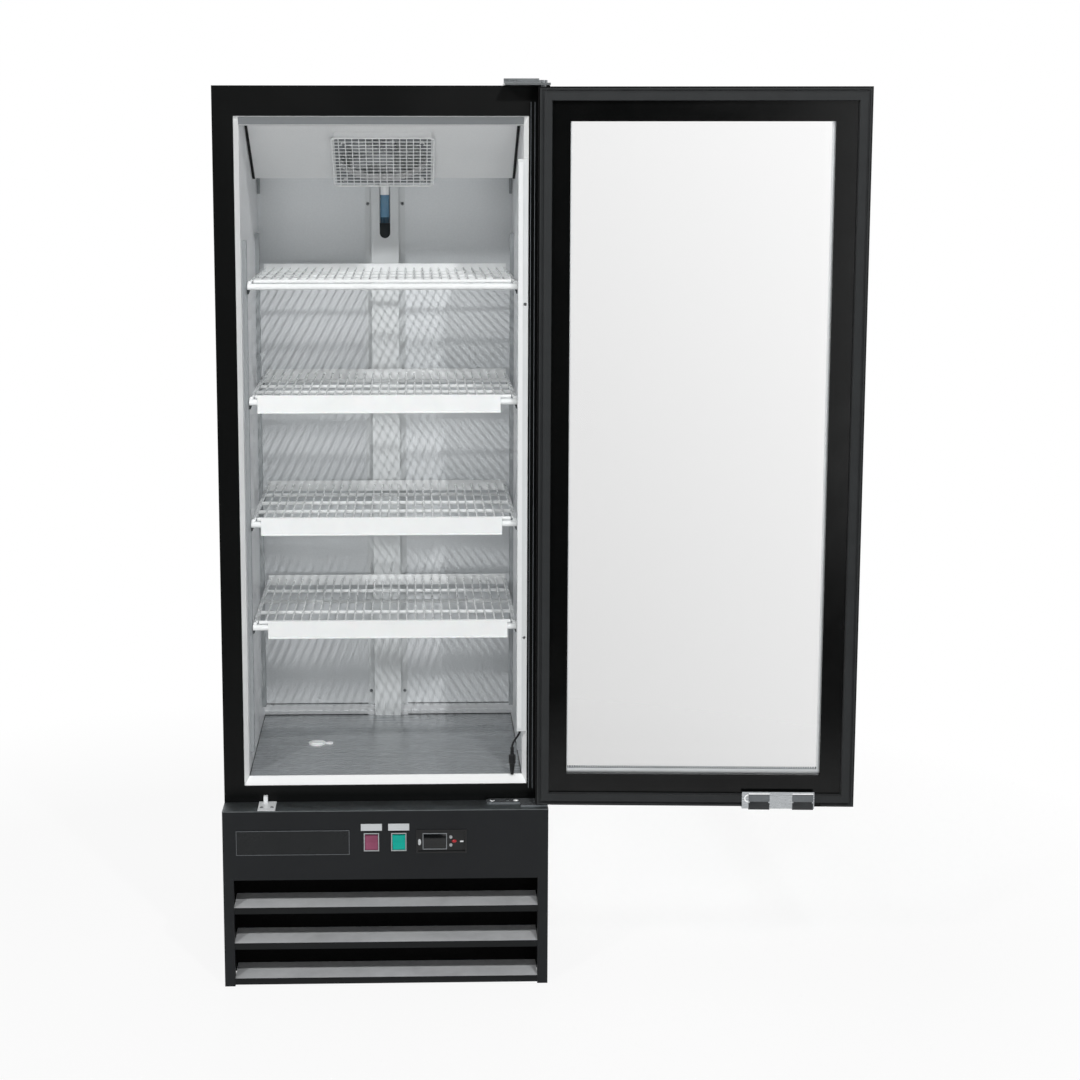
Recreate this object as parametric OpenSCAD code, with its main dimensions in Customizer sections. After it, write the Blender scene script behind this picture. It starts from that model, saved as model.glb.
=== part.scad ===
// Glass door refrigerator: a tall insulated cabinet on a base that holds the cooling unit,
// with four wire shelves and one glass door hinged on the right, shown wide open.
// Millimetres. The origin is on the ground under the middle of the cabinet, the front faces -Y.

/* [Cabinet] */
// Width of the cabinet over its side skins
cabinet_w = 630; // [610:5:690]
// Depth from the front of the base to the back skin
cabinet_d = 600; // [580:5:660]
// Height of the cabinet above the ground
cabinet_h = 1732; // [1700:4:1820]
// Height of the base under the insulated body
base_h = 354; // [346:2:380]
// How far the insulated body stands back from the front of the base
setback = 60; // [58:1:70]
// Thickness of the outer steel skins
skin_t = 1.2; // [1:0.1:1.8]
// Thickness of the black frame round the opening
face_t = 3; // [2:0.5:4]
// Width of the face frame at each side of the opening
face_side = 39.5; // [36:0.5:42]
// Height of the face frame over the opening
face_top = 56; // [50:1:60]
// Height of the face frame under the opening
face_bottom = 33; // [30:1:36]

/* [Inside walls] */
// Insulated side wall, from skin to liner
side_wall = 48; // [46:0.5:52]
// Insulated top wall
top_wall = 72; // [68:1:80]
// Insulated floor
floor_wall = 48; // [44:1:54]
// Insulated back wall
back_wall = 52; // [46:1:60]
// Thickness of the liner sheets
liner_t = 1; // [0.8:0.1:1.4]
// Depth of the sloped trim between the face frame and the liner
breaker_d = 18; // [14:1:20]
// Sheet thickness of that trim
breaker_t = 1.5; // [1.2:0.1:2]

/* [Door] */
// Angle of the door from closed, degrees
door_open = 177; // [120:1:178]
// Thickness of the door frame
door_t = 48; // [44:1:52]
// Gap from the cabinet side to the hinge edge of the door
door_hinge_inset = 6; // [4:0.5:8]
// Gap from the cabinet side to the free edge of the door
door_free_inset = 10; // [6:0.5:12]
// Gap from the cabinet top down to the top of the door
door_drop = 3; // [2.5:0.5:5]
// Gap from the base up to the bottom of the door
door_lift = 6; // [6:0.5:8]
// Width of the stile at the hinges
hinge_stile = 60; // [56:1:66]
// Width of the stile at the free edge
free_stile = 67; // [60:1:72]
// Height of the top and bottom rails
rail_h = 63; // [58:1:68]
// Thickness of each glass pane
pane_t = 4; // [3:0.5:5]
// Gap between the two panes
pane_gap = 12; // [10:1:14]
// Depth of glass held inside the frame
glass_hold = 20; // [14:1:22]
// Width of the spacer that shows beside the stiles
spacer_show = 4; // [2:0.5:6]
// Height of the spacer that shows over the bottom rail
spacer_show_low = 9; // [6:0.5:12]
// Thickness of the trim ring on the inner face
bezel_t = 6; // [4:0.5:7]
// Width of the band that the gasket covers
gasket_band = 26; // [24:1:28]
// Height of the gasket off the door
gasket_t = 10.2; // [9.4:0.2:11]
// Gap from gasket to face frame with the door closed
gasket_gap = 1.8; // [1.6:0.1:2.4]

/* [Hinges] */
// Distance of the hinge axis from the cabinet side
pin_inset = 15; // [14:0.5:17]
// Diameter of the hinge pins
pin_d = 10; // [8:0.5:11]
// Running clearance round each pin
pin_gap = 0.08; // [0.05:0.01:0.1]
// Thickness of the hinge plates
hinge_t = 4; // [3:0.5:4.5]
// Space left between the open door and the face frame
open_gap = 4; // [3:0.5:6]

/* [Handle] */
// Length of the pull handle
handle_len = 320; // [240:10:420]
// How far the handle stands off the door
handle_out = 38; // [32:1:46]
// Height of the middle of the handle over the bottom of the door
handle_z = 700; // [600:10:800]

/* [Shelves] */
// Number of standard slots from the lowest to each shelf, lowest shelf first
shelf_slots = [14, 26, 40, 53]; // [0:1:56]
// Distance from one slot to the next
slot_pitch = 17; // [16:0.5:18]
// Height of the first slot over the floor
slot_first = 48; // [44:1:52]
// Gap from the back strip of a shelf to the back wall
shelf_rear = 34; // [30:1:50]
// Gap from the front of a shelf back to the face frame
shelf_back = 43; // [42:1:50]
// Gap at each side between shelf and standards
shelf_gap = 2; // [1.5:0.5:4]
// Diameter of the rods that carry goods
rod_d = 3.5; // [3:0.25:4]
// Largest distance between rods
rod_pitch = 17.6; // [15:0.2:22]
// Diameter of the side and cross bars
bar_d = 8; // [7:0.5:9]
// Diameter of the lower front bar
front_bar_d = 12; // [10:0.5:13]
// Height of a price strip
strip_h = 34; // [30:1:38]
// Length of a price strip
strip_len = 466; // [420:2:480]

/* [Air duct and evaporator] */
// Width of the duct cover on the back wall
duct_w = 57; // [50:1:64]
// How far the duct cover stands off the back wall
duct_d = 26; // [24:1:30]
// Width over the screw flanges of the duct cover
duct_flange_w = 84; // [78:1:92]
// Height of the lower edge of the evaporator cover under the ceiling
cover_drop = 104; // [96:1:112]
// Depth from the face frame to the lower edge of the evaporator cover
cover_low_y = 355; // [340:1:370]
// Slope of the evaporator cover, degrees
cover_slope = 28.4; // [26:0.2:30]
// Thickness of the evaporator cover
cover_t = 2; // [1.5:0.5:3]
// Side of the square fan shroud
shroud_w = 190; // [184:1:200]
// Height of the shroud off the cover
shroud_h = 12; // [10:1:14]
// Diameter of the evaporator fan
fan_d = 166; // [150:1:168]
// Clearance round the evaporator fan
fan_gap = 5; // [4:0.5:6]
// Side of the wire fan guard
guard_w = 200; // [196:1:206]
// Largest distance between the guard wires
guard_pitch = 14; // [11:0.5:20]
// Diameter of the guard wires
guard_wire_d = 2; // [1.6:0.1:2.4]
// Depth of the evaporator coil
coil_d = 60; // [50:1:70]
// Width of the evaporator coil
coil_w = 420; // [380:5:450]
// Diameter of the drain tube
drain_tube_d = 19; // [16:0.5:20]
// Length of the drain tube that shows
drain_tube_len = 58; // [40:1:70]
// Diameter of the drain in the floor
drain_d = 26; // [20:1:30]
// Diameter of the drain plug
plug_d = 36; // [34:1:44]

/* [Light] */
// Gap from the top of the light bar to the ceiling
light_top = 63; // [58:1:90]
// Height of the lower end of the light bar over the floor
light_low = 90; // [80:1:110]
// Width of the light bar
light_w = 19; // [17:0.5:20]
// Depth of the light bar
light_d = 24; // [20:0.5:28]
// Width of the lit lens
lens_w = 8; // [6:0.5:9]
// Diameter of the lead under the light bar
lead_d = 4; // [3:0.25:5]

/* [Base] */
// Sheet thickness of the base panels
base_t = 1.5; // [1.2:0.1:2]
// Width of the post formed at each corner of the base
post_w = 20; // [18:1:24]
// Height of the front panel over the louvers
panel_h = 137; // [130:1:142]
// Height of the lip on each blade
louver_lip = 13; // [10:1:16]
// Depth of each blade
louver_d = 73; // [60:1:76]
// Rise of each blade towards the back
louver_rise = 4; // [2:1:8]
// Width of the bare name plate
plate_w = 219; // [180:1:225]
// Height of the bare name plate
plate_h = 49; // [40:1:54]
// Width of a rocker switch
rocker_w = 25; // [22:0.5:27]
// Height of a rocker switch
rocker_h = 33; // [28:0.5:35]
// Swing of each rocker, degrees
rocker_swing = 14; // [10:1:16]
// Width of the temperature controller
controller_w = 97; // [92:1:104]
// Height of the temperature controller
controller_h = 46; // [42:1:50]
// Diameter of a controller button
button_d = 6; // [5:0.25:6.5]
// Travel of a controller button
button_travel = 1.2; // [0.8:0.1:1.5]
// Outer diameter of the compressor
compressor_d = 160; // [150:1:170]
// Diameter of the condenser fan
condenser_fan_d = 220; // [200:2:230]
// Thickness of the condenser coil
condenser_t = 40; // [30:1:44]

/* [Lock] */
// Length of the lock plate
lock_len = 139; // [130:1:146]
// Height of the lock plate
lock_h = 33; // [30:0.5:36]
// Distance of the lock plate from the free edge of the door
lock_inset = 77; // [70:1:80]
// Diameter of the lock bolt
bolt_d = 5; // [4.5:0.25:5.25]
// Travel of the lock bolt
bolt_travel = 12; // [11:0.5:13]
// Diameter of the key cylinder
cylinder_d = 19; // [16:0.5:20]

/* [Hidden] */
$fn = 48;
fit = 0.1;            // gap between pieces that slide together on assembly
near = 0.3;           // gap between curved or moving neighbours
past = 1;             // how far a cutting shape runs past what it cuts

front_y = -cabinet_d / 2;
back_y = cabinet_d / 2;
half_w = cabinet_w / 2;
face_y = front_y + setback;
liner_x = half_w - side_wall;
floor_z = base_h + floor_wall;
ceiling_z = cabinet_h - top_wall;
wall_y = back_y - back_wall;
open_x = half_w - face_side;
open_low = base_h + face_bottom;
open_top = cabinet_h - face_top;
liner_y = face_y + breaker_d;
breaker_y = face_y + face_t;

duct_t = 1.2;
duct_top = ceiling_z - cover_drop - 20;
slot_w = drain_tube_d + 3;
slot_len = 106;
slot_low = duct_top - slot_len;
drain_x = -144;
drain_y = 3;
plug_t = 2.5;
plug_tab = 27;
board_d = 12;
board_h = 20;

standard_d = 8;
standard_w = 20;
standard_t = 1.5;
standard_y = [face_y + 62, wall_y - 83];
standard_low = floor_z + slot_first - 10;
standard_high = standard_low + 59 * slot_pitch;
slot_h = 9;
tongue_w = 3.4;
clip_w = 12;
clip_hook = 3;
clip_rise = 8;
clip_drop = 10;
clip_reach = 9;
weld = 0.8;           // how far crossing wires sink into each other
bar_drop = rod_d + bar_d / 2 - weld;
cross_bars = 3;
shelf_d = wall_y - shelf_rear - face_y - shelf_back;
front_wire_d = 7;
cross_d = bar_d - weld / 2;
lip_inset = 12;
back_strip_t = 1.5;
back_strip_low = 14;
back_strip_up = 8;
strip_t = 2;
strip_x = [6, -5, -8];
cover_low = [face_y + cover_low_y, ceiling_z - cover_drop];
fan_shift = 10;
eye_x = 77;
eye_d = 10;
eye_t = 2;
guard_out = 16;
guard_r = 11;
guard_frame_d = 4;
fan_depth = 18;
fan_hub_d = 44;
shaft_d = 6;
motor_d = 52;
motor_len = 28;
coil_back = 18;
spout_y = wall_y - duct_d;
spout_z = duct_top + 2;
tube_top = duct_top - 16;
light_len = ceiling_z - light_top - floor_z - light_low;
lead_x = liner_x - 19;
plug_body_d = 14;

hinge_in = half_w - 87;
lip_rise = 13;
arm_reach = 107;
arm_x = half_w - arm_reach;
arm_y = face_y - 15.5;
arm_w = 25;
bolt_at = [door_t + 5, 0.2];
strike_at = lock_inset - 10;
strike_w = 8;
strike_half = 4.4;
strike_t = 1.5;
strike_h = 15;

foot_t = 6;
foot_hole_d = 10.5;    // takes a levelling leg or the stem of a castor
louver_n = 3;
pan_z = 12;
housing_wall = 4;
controller_lip = 6;
bezel_out = 1.5;
label_t = 1;
label_w = 42;
label_h = 15;
label_z = 313;
plate_x = -half_w + post_w + 6;
plate_z = 266;
rocker_gap = 42.5;
rocker_pitch = 52.8;
rocker_x = [plate_x + plate_w + rocker_gap, plate_x + plate_w + rocker_gap + rocker_pitch];
rocker_z = 291;
rocker_pivot = 8;
rocker_pin_d = 3;
rocker_well = 18;
rocker_body = 20;
display_well = 1.5;
display_body = 40;
housing_rim = 1.5;
controller_x = rocker_x[1] + 82.7;
button_x = controller_x + 18;
button_z = [283.5, 299.5];
button_deep = 12;
compressor_at = [165, 120];
compressor_h = 110;
feet_h = 16;
foot_plate_t = 6;
foot_half = 16;
foot_reach = 22;
rubber_d = 22;
terminal_half = 28;
terminal_low = 50;
terminal_h = 60;
terminal_out = 22;
discharge_at = [-30, -40];
suction_at = [25, 30];
discharge_d = 6;
suction_d = 8;
stub_h = 44;
line_gap = 30;
drier_d = 20;
drier_len = 90;
condenser_at = [-115, 165];
condenser_w = 262;
condenser_y = front_y + louver_d + 25;
condenser_fan_out = fan_depth / 2 + 6;
shroud_run = 24;
shroud_ring = 12;
side_plate_t = 2;
row_d = 9;
row_over = 10;
row_first = 40;
row_step = 52;
rows = 5;
tray_low = [-260, -40];
tray_high = [-60, 240];
tray_h = 45;
grille_low = 100;
grille_pitch = 26;
grille_slot = 10;
gland_x = half_w - 75;
gland_z = 60;
gland_bore = 10;
gland_len = 16;
gland_out = 6;
gasket_inset = 3;
handle_d = 16;
post_inset = 24;
post_d = 13;
rose_d = 26;
rose_t = 4;
lock_t = 1.2;
guide_w = 40;
guide_x = [lock_inset + 2, lock_inset + lock_len - guide_w - 13];
guide_low = -3;
cylinder_at = [lock_inset + lock_len / 2, 22];
cylinder_len = 38;
duct_screw_x = 36.5;
duct_screw_z = floor_z + 49;
duct_screw_step = (duct_top - floor_z - 84) / 3;
light_screw_z = [for (a = [0.17, 0.754]) floor_z + light_low + a * light_len];
function slot_z(slot) = floor_z + slot_first + slot * slot_pitch;
function shelf_top(slot) = slot_z(slot) + clip_rise + fit + bar_d / 2 + bar_drop;

door_w = cabinet_w - door_hinge_inset - door_free_inset;
door_low = base_h + door_lift;
door_h = cabinet_h - door_drop - door_low;
door_stack = gasket_gap + gasket_t + door_t;
door_x = -half_w + door_free_inset;
door_y = face_y - door_stack;
pin_x = half_w - pin_inset;
pin_y = face_y - (door_stack + open_gap) / 2;
pin_local = [pin_x - door_x, pin_y - door_y];
unit_t = 2 * pane_t + pane_gap;
unit_y = door_t - bezel_t - unit_t;
glass_low = [free_stile - glass_hold, rail_h - glass_hold];
glass_high = [door_w - hinge_stile + glass_hold, door_h - rail_h + glass_hold];
bush_d = pin_d + 4;
bush_len = 24;
pin_reach = 20;

// a box from its low corner to its high corner
module block(low, high) {
    translate(low) cube(high - low);
}

// a cylinder along X, Y or Z from a start point
module rod_x(start, d, len) {
    translate(start) rotate([0, 90, 0]) cylinder(d = d, h = len);
}
module rod_y(start, d, len) {
    translate(start) rotate([-90, 0, 0]) cylinder(d = d, h = len);
}
module rod_z(start, d, len) {
    translate(start) cylinder(d = d, h = len);
}

// a tube along straight runs, with a slightly swollen ball at each bend
module bent_tube(points, d) {
    for (k = [0 : len(points) - 2]) {
        a = points[k];
        v = points[k + 1] - a;
        translate(a) rotate([0, atan2(norm([v[0], v[1]]), v[2]), atan2(v[1], v[0])])
            cylinder(d = d, h = norm(v));
        if (k > 0) translate(a) sphere(d = d + near);
    }
}

// children and their mirror image on the other side of the cabinet
module both_sides() {
    children();
    mirror([1, 0, 0]) children();
}

// children drawn on the closed door, from its lower free corner, are turned with the door
module on_door() {
    translate([pin_x, pin_y, 0]) rotate([0, 0, door_open]) translate([-pin_x, -pin_y, 0])
        translate([door_x, door_y, door_low]) children();
}

// a four-sided ring in the plane of the door
module door_ring(low, high, in_low, in_high, y0, y1) {
    difference() {
        block([low[0], y0, low[1]], [high[0], y1, high[1]]);
        block([in_low[0], y0 - past, in_low[1]], [in_high[0], y1 + past, in_high[1]]);
    }
}

// Cabinet shell

module outer_sides() {
    color("#1d1f21") both_sides()
        block([half_w - skin_t, face_y + face_t, base_h], [half_w, back_y, cabinet_h]);
}

module outer_top() {
    color("#1d1f21") block([-half_w + skin_t, face_y + face_t, cabinet_h - skin_t],
        [half_w - skin_t, back_y, cabinet_h]);
}

module outer_back() {
    color("#3a3c3e") block([-half_w + skin_t, back_y - skin_t, base_h],
        [half_w - skin_t, back_y, cabinet_h - skin_t]);
}

module insulation() {
    color("#e6d8a8") difference() {
        block([-half_w + skin_t, liner_y, base_h],
            [half_w - skin_t, back_y - skin_t, cabinet_h - skin_t]);
        block([-liner_x - liner_t, liner_y - past, floor_z - liner_t],
            [liner_x + liner_t, wall_y + liner_t, ceiling_z + liner_t]);
        rod_z([drain_x, drain_y, base_h - past], drain_d, floor_wall + 2 * past);
    }
}

module face_frame() {
    color("#17191a") difference() {
        block([-half_w, face_y, base_h], [half_w, face_y + face_t, cabinet_h]);
        block([-open_x, face_y - past, open_low], [open_x, face_y + face_t + past, open_top]);
    }
}

// the hollow of the sloped trim, grown by a wall at its sides and cut longer by some depth
module funnel(grow, longer) {
    x = [open_x + grow, liner_x + grow];
    low = [open_low - grow, floor_z - grow];
    high = [open_top + grow, ceiling_z + grow];
    y = [breaker_y - longer, liner_y + longer];
    polyhedron(
        points = [for (k = [0, 1]) for (p = [[-x[k], low[k]], [x[k], low[k]], [x[k], high[k]],
            [-x[k], high[k]]]) [p[0], y[k], p[1]]],
        faces = [[3, 2, 1, 0], [4, 5, 6, 7], [0, 1, 5, 4], [1, 2, 6, 5], [2, 3, 7, 6], [3, 0, 4, 7]]);
}

module breaker_strips() {
    color("#dfe3e4") difference() {
        funnel(breaker_t, 0);
        funnel(0, 0.01);
    }
}

// Inside walls

module liner_sides() {
    color("#c9cecf") both_sides() block([liner_x, liner_y, floor_z - liner_t],
        [liner_x + liner_t, wall_y + liner_t, ceiling_z + liner_t]);
}

module liner_back() {
    color("#b7bdbf") block([-liner_x, wall_y, floor_z - liner_t],
        [liner_x, wall_y + liner_t, ceiling_z + liner_t]);
}

module liner_top() {
    color("#c9cecf") block([-liner_x, liner_y, ceiling_z], [liner_x, wall_y, ceiling_z + liner_t]);
}

module floor_pan() {
    color("#8b9092") difference() {
        block([-liner_x, liner_y, floor_z - liner_t], [liner_x, wall_y, floor_z]);
        rod_z([drain_x, drain_y, floor_z - liner_t - past], drain_d, liner_t + 2 * past);
    }
}

// hat section on the back wall, with a round-ended slot that takes the drain tube
module back_duct() {
    w = duct_w / 2;
    f = duct_flange_w / 2;
    front = wall_y - duct_d;
    color("#cfd4d5") difference() {
        translate([0, 0, floor_z]) linear_extrude(duct_top - floor_z) polygon([
            [-f, wall_y], [-f, wall_y - duct_t], [-w, wall_y - duct_t], [-w, front], [w, front],
            [w, wall_y - duct_t], [f, wall_y - duct_t], [f, wall_y], [w - duct_t, wall_y],
            [w - duct_t, front + duct_t], [-w + duct_t, front + duct_t], [-w + duct_t, wall_y]]);
        block([-slot_w / 2, front - past, slot_low + slot_w / 2], [slot_w / 2, front + duct_t + past,
            duct_top + past]);
        rod_y([0, front - past, slot_low + slot_w / 2], slot_w, duct_t + 2 * past);
    }
}

module shelf_standards() {
    x = liner_x - standard_d;
    color("#d3d7d8") both_sides() for (y = standard_y) difference() {
        block([x, y - standard_w / 2, standard_low], [liner_x, y + standard_w / 2, standard_high]);
        block([x + standard_t, y - standard_w / 2 + standard_t, standard_low - past],
            [liner_x + past, y + standard_w / 2 - standard_t, standard_high + past]);
        for (z = [slot_z(0) : slot_pitch : standard_high - slot_pitch])
            block([x - past, y - tongue_w / 2 - near, z], [x + standard_t + past,
                y + tongue_w / 2 + near, z + slot_h]);
    }
}

// a clip hooks into a slot of the standard and carries the side bar of a shelf
module shelf_clip(y, slot) {
    x = liner_x - standard_d;
    z = slot_z(slot);
    color("#5b5f62") {
        block([x - near, y - tongue_w / 2, z], [x + standard_t + clip_hook, y + tongue_w / 2,
            z + slot_h - near]);
        translate([0, y + clip_w / 2, 0]) rotate([90, 0, 0]) linear_extrude(clip_w) polygon([
            [x - fit, z - clip_drop], [x - fit, z + clip_rise], [x - clip_reach, z + clip_rise],
            [x - clip_reach, z + clip_rise - 2.5], [x - 3, z - clip_drop]]);
    }
}

module shelf_clips() {
    both_sides() for (y = standard_y) for (slot = shelf_slots) shelf_clip(y, slot);
}

// a wire shelf: rods from front to back on cross bars, a wire over a thicker bar in front
module shelf(top) {
    w = liner_x - standard_d - shelf_gap;
    y0 = face_y + shelf_back;
    y1 = y0 + shelf_d;
    bar_z = top - bar_drop;
    rods = ceil((2 * w - 2 * bar_d) / rod_pitch);
    step = (2 * w - 2 * bar_d) / rods;
    color("#f1f3f3") {
        for (x = [-w + bar_d : step : w - bar_d + 0.01])
            rod_y([x, y0, top - rod_d / 2], rod_d, shelf_d - back_strip_t / 2);
        both_sides() rod_y([w - bar_d / 2, y0, bar_z], bar_d, shelf_d - back_strip_t / 2);
        for (k = [1 : cross_bars])
            rod_x([-w + bar_d / 2, y0 + k * shelf_d / (cross_bars + 1), bar_z + weld / 4], cross_d,
                2 * w - bar_d);
        rod_x([-w + lip_inset, y0, top + weld / 2 - front_wire_d / 2], front_wire_d, 2 * (w - lip_inset));
        rod_x([-w, y0, bar_z - bar_d / 2 - front_bar_d / 2 + weld * 4], front_bar_d, 2 * w);
        block([-w + bar_d / 2, y1 - back_strip_t, top - back_strip_low],
            [w - bar_d / 2, y1, top + back_strip_up]);
    }
}
module shelf_1() shelf(shelf_top(shelf_slots[3]));
module shelf_2() shelf(shelf_top(shelf_slots[2]));
module shelf_3() shelf(shelf_top(shelf_slots[1]));
module shelf_4() shelf(shelf_top(shelf_slots[0]));

// plain strips on the lower three shelves, each clipped on a little off the middle
module price_strips() {
    y = face_y + shelf_back - front_bar_d / 2 - fit;
    color("#eceeee") for (k = [0 : 2]) {
        top = shelf_top(shelf_slots[k]);
        x = strip_x[k];
        block([x - strip_len / 2, y - strip_t, top - strip_h], [x + strip_len / 2, y, top]);
        block([x - strip_len / 2, y - strip_t - 2, top - strip_h],
            [x + strip_len / 2, y - strip_t, top - strip_h + 2]);
    }
}

module baseboards() {
    color("#9ea3a5") both_sides() {
        block([duct_w / 2 + near, wall_y - duct_t - board_d, floor_z],
            [liner_x, wall_y - duct_t - fit, floor_z + board_h]);
        block([duct_w / 2 + near, wall_y - duct_t - 1.5 * board_d, floor_z],
            [liner_x, wall_y - duct_t - board_d, floor_z + board_h / 2.5]);
    }
}

// the plug stands in the floor drain, with a lobed tab to lift it by
module drain_plug() {
    color("#f0f2f2") {
        rod_z([drain_x, drain_y, floor_z + fit], plug_d, plug_t);
        rod_z([drain_x, drain_y, floor_z - 4], drain_d - 2 * near, 4 + 2 * fit);
        rod_z([drain_x, drain_y, floor_z + fit + plug_t - fit], plug_d - 10, 1.5);
        block([drain_x, drain_y - 3, floor_z + fit], [drain_x + plug_tab, drain_y + 3,
            floor_z + fit + plug_t]);
        rod_z([drain_x + plug_tab, drain_y, floor_z + fit], 13, plug_t);
    }
}

// Evaporator, fan and drain

// children drawn on the slope of the evaporator cover: X across, Y down the slope, Z up through it
module on_cover() {
    run = cover_drop / sin(cover_slope) / 2 - fan_shift;
    translate([0, cover_low[0] - run * cos(cover_slope), cover_low[1] + run * sin(cover_slope)])
        rotate([-cover_slope, 0, 0]) children();
}

module evaporator_cover() {
    top_y = cover_low[0] - cover_drop / tan(cover_slope);
    x = liner_x - near;
    color("#d5d9da") {
        difference() {
            union() {
                translate([-x, 0, 0]) rotate([90, 0, 90]) linear_extrude(2 * x) polygon([
                    [top_y, ceiling_z - fit], cover_low, [wall_y - fit, cover_low[1]],
                    [wall_y - fit, cover_low[1] + cover_t],
                    [cover_low[0] + cover_t * tan(cover_slope / 2), cover_low[1] + cover_t],
                    [top_y + cover_t / sin(cover_slope), ceiling_z - fit]]);
                on_cover() block([-shroud_w / 2, -shroud_w / 2, -shroud_h],
                    [shroud_w / 2, shroud_w / 2, cover_t / 2]);
            }
            on_cover() rod_z([0, 0, -shroud_h - past], fan_d + 2 * fan_gap,
                shroud_h + cover_t + 2 * past);
        }
        on_cover() for (x = [-eye_x, eye_x]) for (y = [-eye_x, eye_x])
            rod_z([x, y, -guard_out], eye_d - 2, guard_out - shroud_h + fit);
        translate([0, spout_y, spout_z]) cylinder(d1 = drain_tube_d, d2 = 2 * drain_tube_d,
            h = cover_low[1] - spout_z + fit);
        rod_z([0, spout_y, tube_top], drain_tube_d, spout_z - tube_top);
    }
}

// a square grid of wires in a frame with round corners, screwed down at four eyes
module fan_guard() {
    half = guard_w / 2;
    wires = ceil(guard_w / guard_pitch);
    step = guard_w / wires;
    z = -guard_out - guard_wire_d / 2;
    color("#f4f6f6") on_cover() difference() {
        union() {
            for (k = [1 : wires - 1]) {
                rod_y([-half + k * step, -half, z], guard_wire_d, guard_w);
                rod_x([-half, -half + k * step, z - guard_wire_d + weld], guard_wire_d, guard_w);
            }
            for (turn = [0 : 90 : 270]) rotate([0, 0, turn]) {
                rod_x([-half + guard_r, -half, z], guard_frame_d, guard_w - 2 * guard_r);
                translate([half - guard_r, -half + guard_r, z]) rotate([0, 0, -90])
                    rotate_extrude(angle = 90) translate([guard_r, 0]) circle(d = guard_frame_d);
            }
            for (x = [-eye_x, eye_x]) for (y = [-eye_x, eye_x])
                rod_z([x, y, -guard_out - eye_t], eye_d, eye_t - fit);
        }
    }
}

module evaporator_fan() {
    color("#2b2d2f") on_cover() {
        difference() {
            rod_z([0, 0, -fan_depth / 2], fan_hub_d, fan_depth);
            rod_z([0, 0, -fan_depth / 2 + 3], shaft_d + 2 * pin_gap, fan_depth);
        }
        fan_blades(fan_d / 2, fan_hub_d / 2, 5, fan_depth - 4);
    }
}

// flat paddles set at an angle round a hub
module fan_blades(r_out, r_in, count, depth) {
    pitch = 28;
    reach = r_out - r_in;
    chord = min(reach, (depth - 2) / sin(pitch));
    for (k = [0 : count - 1]) rotate([0, 0, k * 360 / count]) translate([r_in - 2, 0, 0])
        rotate([pitch, 0, 0]) translate([0, 0, -1]) linear_extrude(2) polygon([
            [0, -chord / 3], [reach * 0.75, -chord / 2], [reach * 0.97, -chord / 4],
            [reach * 0.98, chord / 4], [reach * 0.8, chord / 2], [0, chord / 3]]);
}

// a round motor with a shaft towards -Z, on a bracket of two arms
module fan_motor(span, foot) {
    z = fan_depth / 2 + 3;
    rod_z([0, 0, z], motor_d, motor_len);
    block([-span / 2, -8, z + motor_len - 8], [span / 2, 8, z + motor_len - 6]);
    rod_z([0, 0, -fan_depth / 2 + 4], shaft_d, z + fan_depth / 2 - 3);
    for (side = [-1, 1]) block([side * span / 2 - 1, -8, foot], [side * span / 2 + 1, 8,
        z + motor_len - 6]);
}

module fan_motors() {
    color("#4a4d50") {
        on_cover() fan_motor(shroud_w + 10, cover_t);
        on_condenser_fan() fan_motor(condenser_fan_d + 24, -condenser_fan_out);
    }
}

module evaporator_coil() {
    half = coil_w / 2;
    y = [wall_y - coil_back - coil_d, wall_y - coil_back];
    z = [cover_low[1] + cover_t, ceiling_z - 8];
    tubes = [for (a = [0.2, 0.5, 0.8]) for (b = [0.3, 0.7]) [y[0] + b * coil_d,
        z[0] + a * (z[1] - z[0])]];
    color("#aeb4b8") {
        block([-half, y[0], z[0] + 6], [half, y[1], z[1] - 2]);
        for (x = [-half - 2, half]) block([x, y[0] - 2, z[0]], [x + 2, y[1] + 2, ceiling_z - fit]);
        for (t = tubes) rod_x([-half - 12, t[0], t[1]], 8, coil_w + 24);
    }
}

module drain_tube() {
    color("#7fb2d6") difference() {
        rod_z([0, spout_y, tube_top - drain_tube_len], drain_tube_d, drain_tube_len);
        rod_z([0, spout_y, tube_top - drain_tube_len - past], drain_tube_d - 4,
            drain_tube_len + 2 * past);
    }
}

// Light

module light_bar() {
    x = open_x - near;
    y = [face_y + 2, face_y + 2 + light_d];
    color("#e9ecec") translate([0, 0, floor_z + light_low]) linear_extrude(light_len) polygon([
        [x - light_w, y[0]], [x, y[0]], [x, breaker_y], [liner_x - near, liner_y],
        [liner_x - near, y[1]], [x - light_w, y[1]]]);
}

module light_lens() {
    x = open_x - near - light_w + 1;
    color("#ffffff") block([x, face_y + 0.5, floor_z + light_low + 6],
        [x + lens_w, face_y + 2, floor_z + light_low + light_len - 6]);
}

// the lead leaves the lower end of the light bar, bends in, and ends in a connector on the floor
module light_lead() {
    y = face_y + 2 + light_d / 2;
    top = floor_z + light_low;
    bend = [[open_x - 12, y, top], [open_x - 12, y, top - 14], [lead_x, y, top - 26],
        [lead_x, y, floor_z + 56]];
    color("#1b1c1e") {
        bent_tube(bend, lead_d);
        rod_z([lead_x, y, floor_z + 40], lead_d + 3, 16);
        rod_z([lead_x, y, floor_z + 23], plug_body_d, 17);
        translate([lead_x, y, floor_z]) cylinder(d1 = lead_d + 3, d2 = plug_body_d - 2, h = 23);
    }
}

// Hinges and lock strike on the cabinet

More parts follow.
